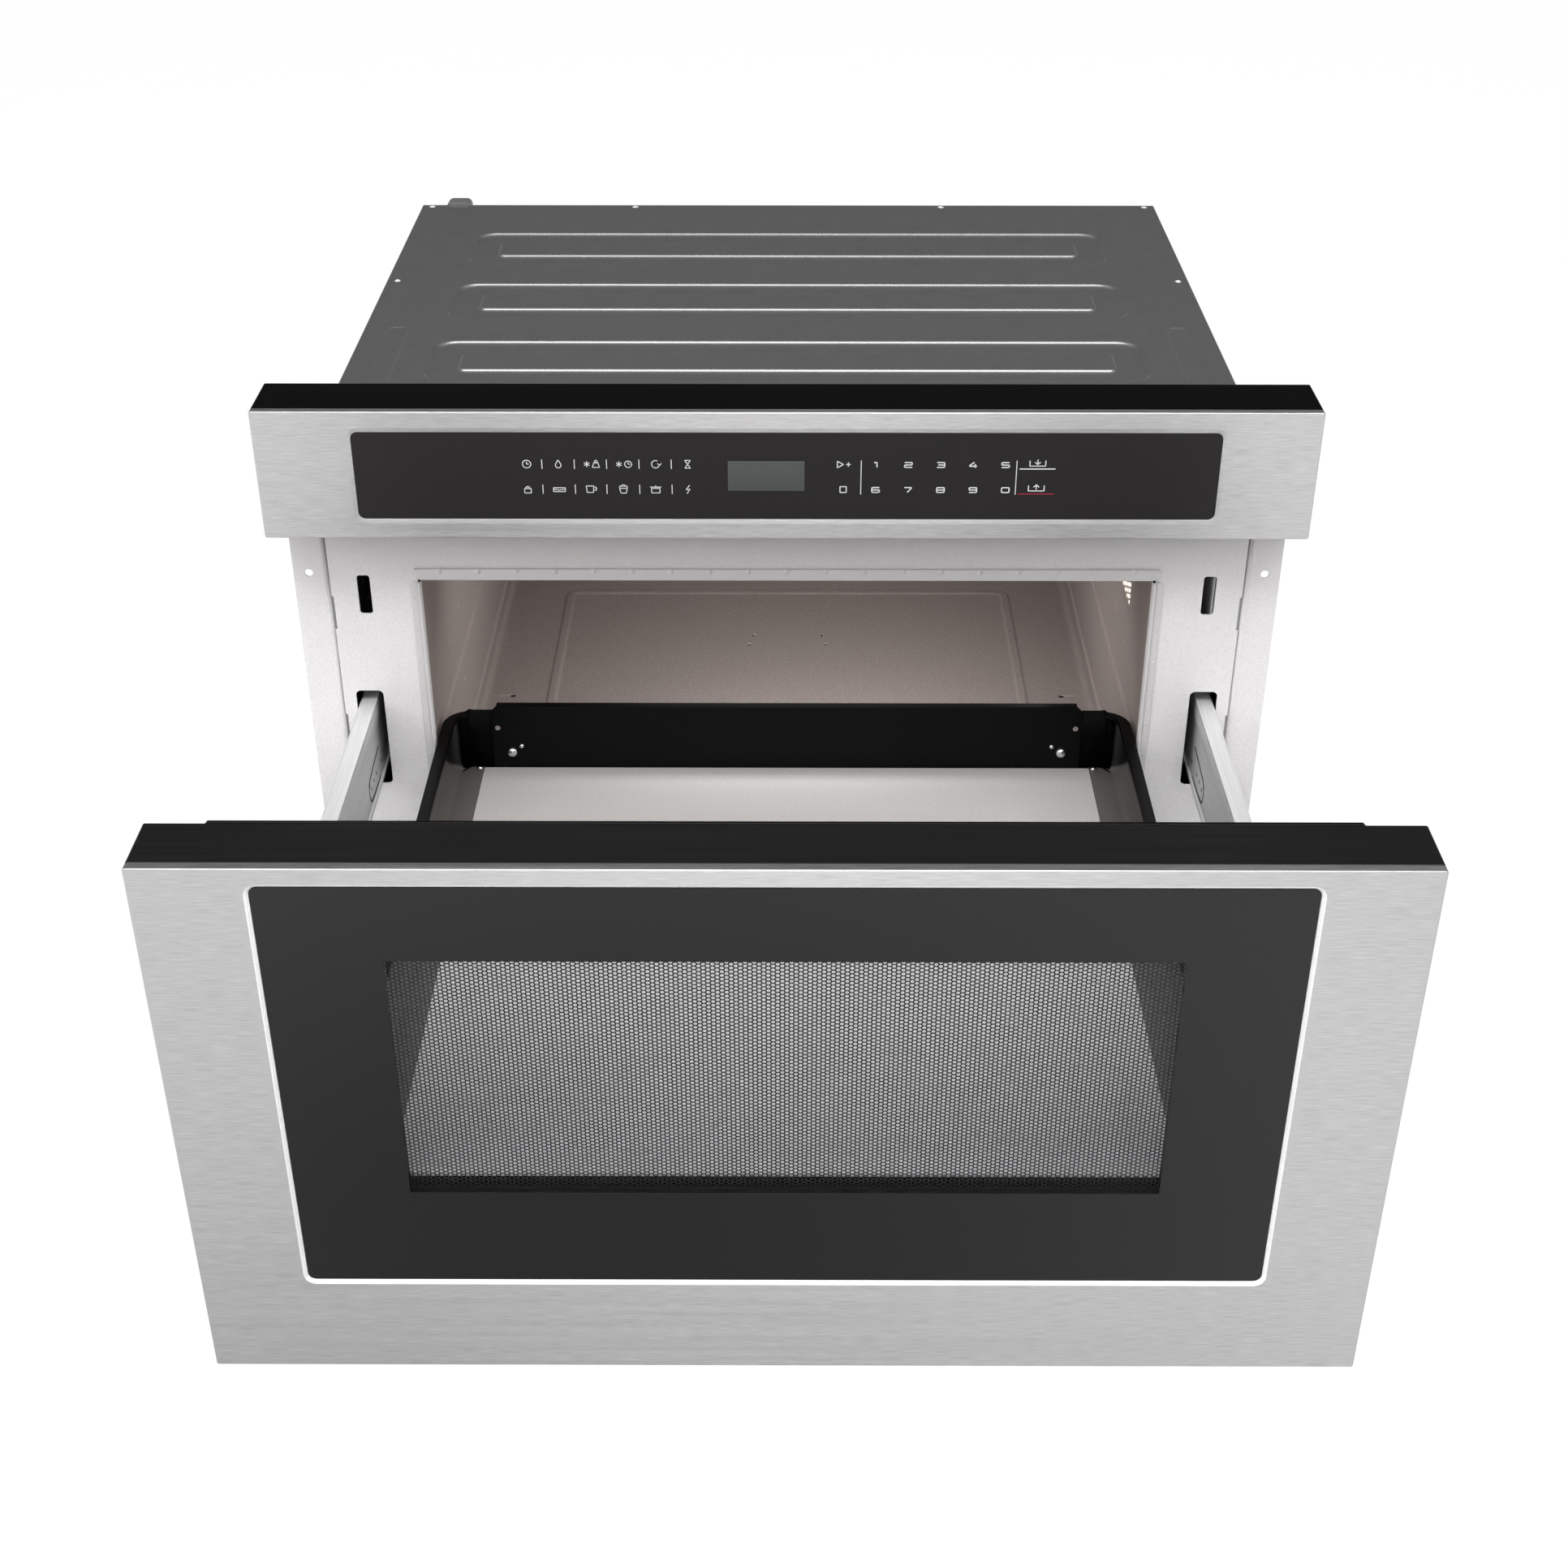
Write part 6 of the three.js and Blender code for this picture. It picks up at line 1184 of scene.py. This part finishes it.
# Choke. Black painted steel: a tunnel behind the drawer front, open towards the pan, and a cover plate with
# two cut corners that closes the cap from behind.
def corners_cut(half, low, high, cut):
    """Loop of an upright sheet whose two upper corners are cut off."""
    right_half = [(half, low), (half, high - cut), (half - cut, high)]
    return [(-half, low), *right_half, (-half + cut, high), (-half, high - cut)]


CHOKE_HALF = 224.4
CHOKE_LOW, CHOKE_HIGH = 122.3, 281.6
COVER_PLATE_HALF = 276.0
COVER_PLATE_DEPTHS = (229.6, 231.7)
tunnel = rounded_loop(-CHOKE_HALF, CHOKE_HALF, CHOKE_LOW, CHOKE_HIGH, 1.5, 3)
cover = front_sheet(corners_cut(COVER_PLATE_HALF, *DOOR_Z, 3.0), [tunnel], *COVER_PLATE_DEPTHS, 0.5)
even_shading(piece("choke_cover_plate", cover, cap_paint, "drawer", ["choke_cover"]))
coat(cap_paint, "choke_frame")

# Drawer pan. Deep-drawn steel in satin black paint, with a turned-in rim that narrows behind, round rear
# corners and a stepped floor that carries the tray.
pan_paint, tree, shader = material("satin black enamel", "#030303", roughness=0.34, Specular_IOR_Level=0.10)
roughen(tree, shader, object_noise(tree, 1.2, detail=2), 0.05, 0.03)
PAN_HALF = 222.2
PAN_FRONT, PAN_REAR = -262.1, 135.7
PAN_BOTTOM, PAN_RIM = 124.5, 170.6
LEDGE = 129.7
LEDGE_INNER = 199.25
RIM_ROUND = 0.8


def pan_path(inset_side, inset_rear, radius):
    """U-shaped line round the pan: back on the left, round both rear corners and forward on the right."""
    half, rear = PAN_HALF - inset_side, PAN_REAR - inset_rear
    left = arc(-half + radius, rear - radius, radius, 180, 90, 11)
    return np.concatenate([[(-half, PAN_FRONT)], left, left[::-1] * [-1, 1], [(half, PAN_FRONT)]])


def pan_wall(rows):
    """Sheet through paths round the pan; a row is a path's two insets, its corner radius and its height."""
    paths = [np.insert(pan_path(*size), 2, height, axis=1) for *size, height in rows]
    return np.concatenate(paths), quads(len(paths), len(paths[0]))[:, ::-1]


wall = pan_wall([
    (4.0, 4.0, 14.0, PAN_BOTTOM), (1.2, 1.2, 16.8, PAN_BOTTOM + 1.2), (0.0, 0.0, 18.0, PAN_BOTTOM + 4.0),
    (0.0, 0.0, 18.0, PAN_RIM - RIM_ROUND), (0.25, 0.25, 17.75, PAN_RIM - 0.25),
    (RIM_ROUND, 0.7, 17.3, PAN_RIM), (7.0, 1.1, 16.4, PAN_RIM), (7.5, 1.25, 16.2, PAN_RIM - 0.2),
    (7.7, 1.4, 16.0, PAN_RIM - 0.7), (7.7, 1.5, 16.0, PAN_RIM - 2.4), (7.0, 1.6, 15.8, PAN_RIM - 2.6),
    (1.3, 1.6, 16.4, PAN_RIM - 2.6),
])
ledges = [pan_wall([
    (1.3, 1.6, 16.4, PAN_RIM - 2.6), (1.3, 1.6, 16.4, LEDGE + 12.0), (1.9, 1.7, 16.0, LEDGE + 6.0),
    (4.2, 1.8, 14.0, LEDGE + 1.6), (7.5, 1.9, 11.0, LEDGE + 0.1), (9.0, 2.0, 10.0, LEDGE),
])]
for side in (-1, 1):
    ledge_loop = mirrored([
        (LEDGE_INNER, PAN_FRONT), (PAN_HALF - 8.8, PAN_FRONT), (PAN_HALF - 8.8, PAN_REAR - 11.0),
        (PAN_HALF - 16.0, PAN_REAR - 1.9), (LEDGE_INNER, PAN_REAR - 1.9),
    ], side)
    ledges.append(cut_sheet(ledge_loop, [], LEDGE - 1.2, LEDGE, 0.1))
bottom = rounded_loop(-PAN_HALF + 4, PAN_HALF - 4, PAN_FRONT, PAN_REAR - 4, 12.0)
shell = joined(wall, cut_sheet(bottom, [], PAN_BOTTOM, PAN_BOTTOM + 1.2, 0.2))
even_shading(piece("drawer_pan_shell", shell, pan_paint, "drawer", ["drawer_pan"]))
ledge_enamel_painted_light, tree, shader = material("black enamel painted grey where lit", "#5c5957", roughness=0.42, IOR=1.5)
# painted light: black enamel drawn grey on the ledges, which face the lamps; black up the rear wall and
# corners
# black where y plus the slant below times z is large
LIGHT_SLANT = 1.2
lifted = maths(tree, "MULTIPLY_ADD", object_part(tree, "Z"), LIGHT_SLANT, object_part(tree, "Y"))
rear_wall = (PAN_REAR - DRAWER_OUT + LIGHT_SLANT * LEDGE) * MM
painted_light_mask = ramp(tree, lifted, rear_wall - 6 * MM, rear_wall - 1.5 * MM, smooth=True)
blend(tree, shader, painted_light_mask, "#5c5957", "#0a0a0a")
even_shading(piece("drawer_pan_ledge", joined(*ledges), ledge_enamel_painted_light, "drawer"))

softbox("drawer_fill_light", (0.0, -0.545, 0.30), (0.0, -0.535, 0.13), (0.36, 0.03), 0.26)

# Tray. A flat plate of pale glass-ceramic, let into the pan's floor between the two ledges, where it rests
# by its own weight.
ceramic, tree, shader = material("pale glass-ceramic", "#b6b3b1", roughness=0.38, IOR=1.52)
grains = object_noise(tree, 1.6, detail=2)
vary_colour(tree, shader, grains, "#b1aeac", "#bbb8b6", 0.3, 0.7)
roughen(tree, shader, grains, 0.10, 0.04)
TRAY_HALF = 199.1
TRAY_Z = (127.4, 129.7)
BACK_FACE = 131.5
tray_loop = rounded_loop(-TRAY_HALF, TRAY_HALF, PAN_FRONT + 0.2, BACK_FACE - 0.3, 1.0, 3)
tray = cut_sheet(tray_loop, [], *TRAY_Z, 0.15)
even_shading(piece("tray_plate", tray, ceramic, "drawer", ["tray"]))

# Back plate of the drawer. Black sheet steel, upright behind the tray, with a return along its top and cut
# upper corners; two dome-head screws and two small ones hold it, and a rivet closes a round hole at each end.
BACK_HALF = 192.4
BACK_LOW, BACK_TOP = 130.0, 175.6
CUT_CORNER = 3.6
HOLE_AT = (188.5, 159.5)
BACK_HOLE_RADIUS, RIVET_RADIUS = 1.7, 1.75
holes = [arc(s * HOLE_AT[0], HOLE_AT[1], BACK_HOLE_RADIUS, 0, 345, 16) for s in (-1, 1)]
plate = front_sheet(
    corners_cut(BACK_HALF, BACK_LOW, BACK_TOP, CUT_CORNER), holes, -BACK_FACE - 1.2, -BACK_FACE, 0.25,
)
return_half = BACK_HALF - CUT_CORNER
return_loop = rounded_loop(-return_half, return_half, BACK_FACE + 0.1, BACK_FACE + 5.6, 0.6, 2)
plate = joined(plate, cut_sheet(return_loop, [], BACK_TOP - 1.2, BACK_TOP, 0.3))
back_paint, tree, shader = material("dull black enamel", "#030303", roughness=0.45, Specular_IOR_Level=0.12)
roughen(tree, shader, object_noise(tree, 1.2, detail=2), 0.05, 0.03)
even_shading(piece("drawer_back_plate", plate, back_paint, "drawer", ["drawer_back"]))
# the rivets are flat and in the colour of the cavity
rings = [arc(s * HOLE_AT[0], HOLE_AT[1], RIVET_RADIUS, 0, 345, 16) for s in (-1, 1)]
rivets = joined(*[front_sheet(ring, [], -BACK_FACE - 1.0, -BACK_FACE + 0.1, 0.1) for ring in rings])
piece("back_rivets", rivets, cavity_enamel, "drawer")

# Corner brackets. Black sheet steel bent round the inside of the pan's rear corners; each rises above the rim
# and is screwed down to the ledge.
bracket_paint, tree, shader = material("soot black enamel", "#010101", roughness=0.5, Specular_IOR_Level=0.05)
BRACKET_SHEET = 1.1
for name, side in SIDES:
    path = pan_path(2.7, 2.7, 15.3)
    corner = path[1:12] if side < 0 else path[12:23][::-1]
    run_out = np.array([[corner[-1][0] - side * 18.0, corner[-1][1]]])
    path = np.concatenate([corner[-5:], run_out])
    tops = PAN_RIM + np.array([-2.0, -1.0, 1.0, 2.6, 2.0, 2.0])
    rows = [np.insert(path, 2, heights, axis=1) for heights in (LEDGE + 0.3, tops)]
    faces = quads(2, len(path))
    bracket = (np.concatenate(rows), faces if side > 0 else faces[:, ::-1])
    thicken(piece(
        f"corner_bracket_sheet_{name}", bracket, bracket_paint, "drawer",
        [f"corner_bracket_{name}"],
    ), BRACKET_SHEET)

# Screws. Bright plated steel: a large dome head and a small one on each side of the back plate, and one that
# holds the bracket down.
screw_steel, tree, shader = material("bright plated steel", "#dcdcdc", metallic=1.0, roughness=0.2)
roughen(tree, shader, object_noise(tree, 0.9, detail=2), 0.15, 0.05)


def turned(profile, around=20):
    """Turned part: (radius, height) points carried round the axis, the first and the last lying on it."""
    angle = np.linspace(0, 2 * math.pi, around, endpoint=False)
    circle = np.stack([np.cos(angle), np.sin(angle)], -1)
    rows = [np.insert(radius * circle, 2, height, axis=1) for radius, height in profile[1:-1]]
    points = np.concatenate([[[0, 0, profile[0][1]]]] + rows + [[[0, 0, profile[-1][1]]]])
    last = len(points) - 1
    faces = [[int(i) + 1 for i in quad] for quad in quads(len(rows), around, around=True)]
    faces += [[0, 1 + (i + 1) % around, 1 + i] for i in range(around)]
    faces += [[last, last - around + i, last - around + (i + 1) % around] for i in range(around)]
    return points, faces


def dome_profile(radius, rise, shank):
    """From the tip of the shank to the middle of the dome: a straight shank and a quarter of an ellipse."""
    turns = np.radians([0, 15, 30, 45, 60, 75])
    dome = [(radius * math.cos(a), rise * math.sin(a)) for a in turns]
    return [(0, -shank), (radius * 0.45, -shank), (radius * 0.45, 0), *dome, (0, rise)]


BACK_SCREWS = ((180.0, 141.5, 3.6, 2.9), (173.6, 146.2, 1.7, 1.7))  # x, z, radius and rise of each head
BRACKET_SCREW_X, BRACKET_SCREW_Y = 201.7, 128.4
for name, side in SIDES:
    heads = []
    for x, z, radius, rise in BACK_SCREWS:
        head, faces = facing_front(turned(dome_profile(radius, rise, 1.0)))
        heads.append((head + [side * x, BACK_FACE - 0.1, z], faces))
    piece(f"back_screws_{name}", joined(*heads), screw_steel, "drawer", [f"dome_screw_{name}"])
    head, faces = turned(dome_profile(2.1, 1.7, 1.2), 14)
    head = (head + [side * BRACKET_SCREW_X, BRACKET_SCREW_Y, LEDGE + 1.2], faces)
    piece(f"bracket_screw_{name}", head, screw_steel, "drawer")

# Parts inside the body. They are hidden at rest and keep their solids; each gets the finish of its real
# material: moulded plastics, green circuit board, aluminium castings and varnished transformer iron.
pale_plastic, tree, shader = material("moulded off-white plastic", "#dcd9d2", roughness=0.5)
roughen(tree, shader, object_noise(tree, 0.8, detail=1), 0.12, 0.05)
board_green, tree, shader = material("green solder mask", "#2f6c44", roughness=0.4)
vary_colour(tree, shader, object_noise(tree, 2.5, detail=3), "#2a6340", "#37774c", 0.45, 0.55)
cast_aluminium, tree, shader = material("mill-finish aluminium", "#bcbec0", metallic=1.0, roughness=0.38)
roughen(tree, shader, object_noise(tree, 1.0, detail=2, stretch=(12, 1, 1)), 0.10, 0.04)
varnished_iron, tree, shader = material("varnished transformer iron", "#6b4426", metallic=0.3, roughness=0.4)
layers = object_noise(tree, 0.9, detail=2, stretch=(30, 30, 1))
vary_colour(tree, shader, layers, "#4a3222", "#8a5a30", 0.4, 0.6)
coat(black_plastic, "stirrer_motor", "fan_shroud", "fan_motor", "drive_motor", "interlock_switch_left")
coat(guard_grey, "interlock_switch_right")
coat(
    pale_plastic, "stirrer_cover", "fan_impeller", "cavity_lamp", "drive_pinion", "drive_rack",
    "latch_hook_left", "latch_hook_right",
)
coat(board_green, "control_board", "power_board")
coat(cast_aluminium, "magnetron", "capacitor", "stirrer_blade")
coat(varnished_iron, "transformer")
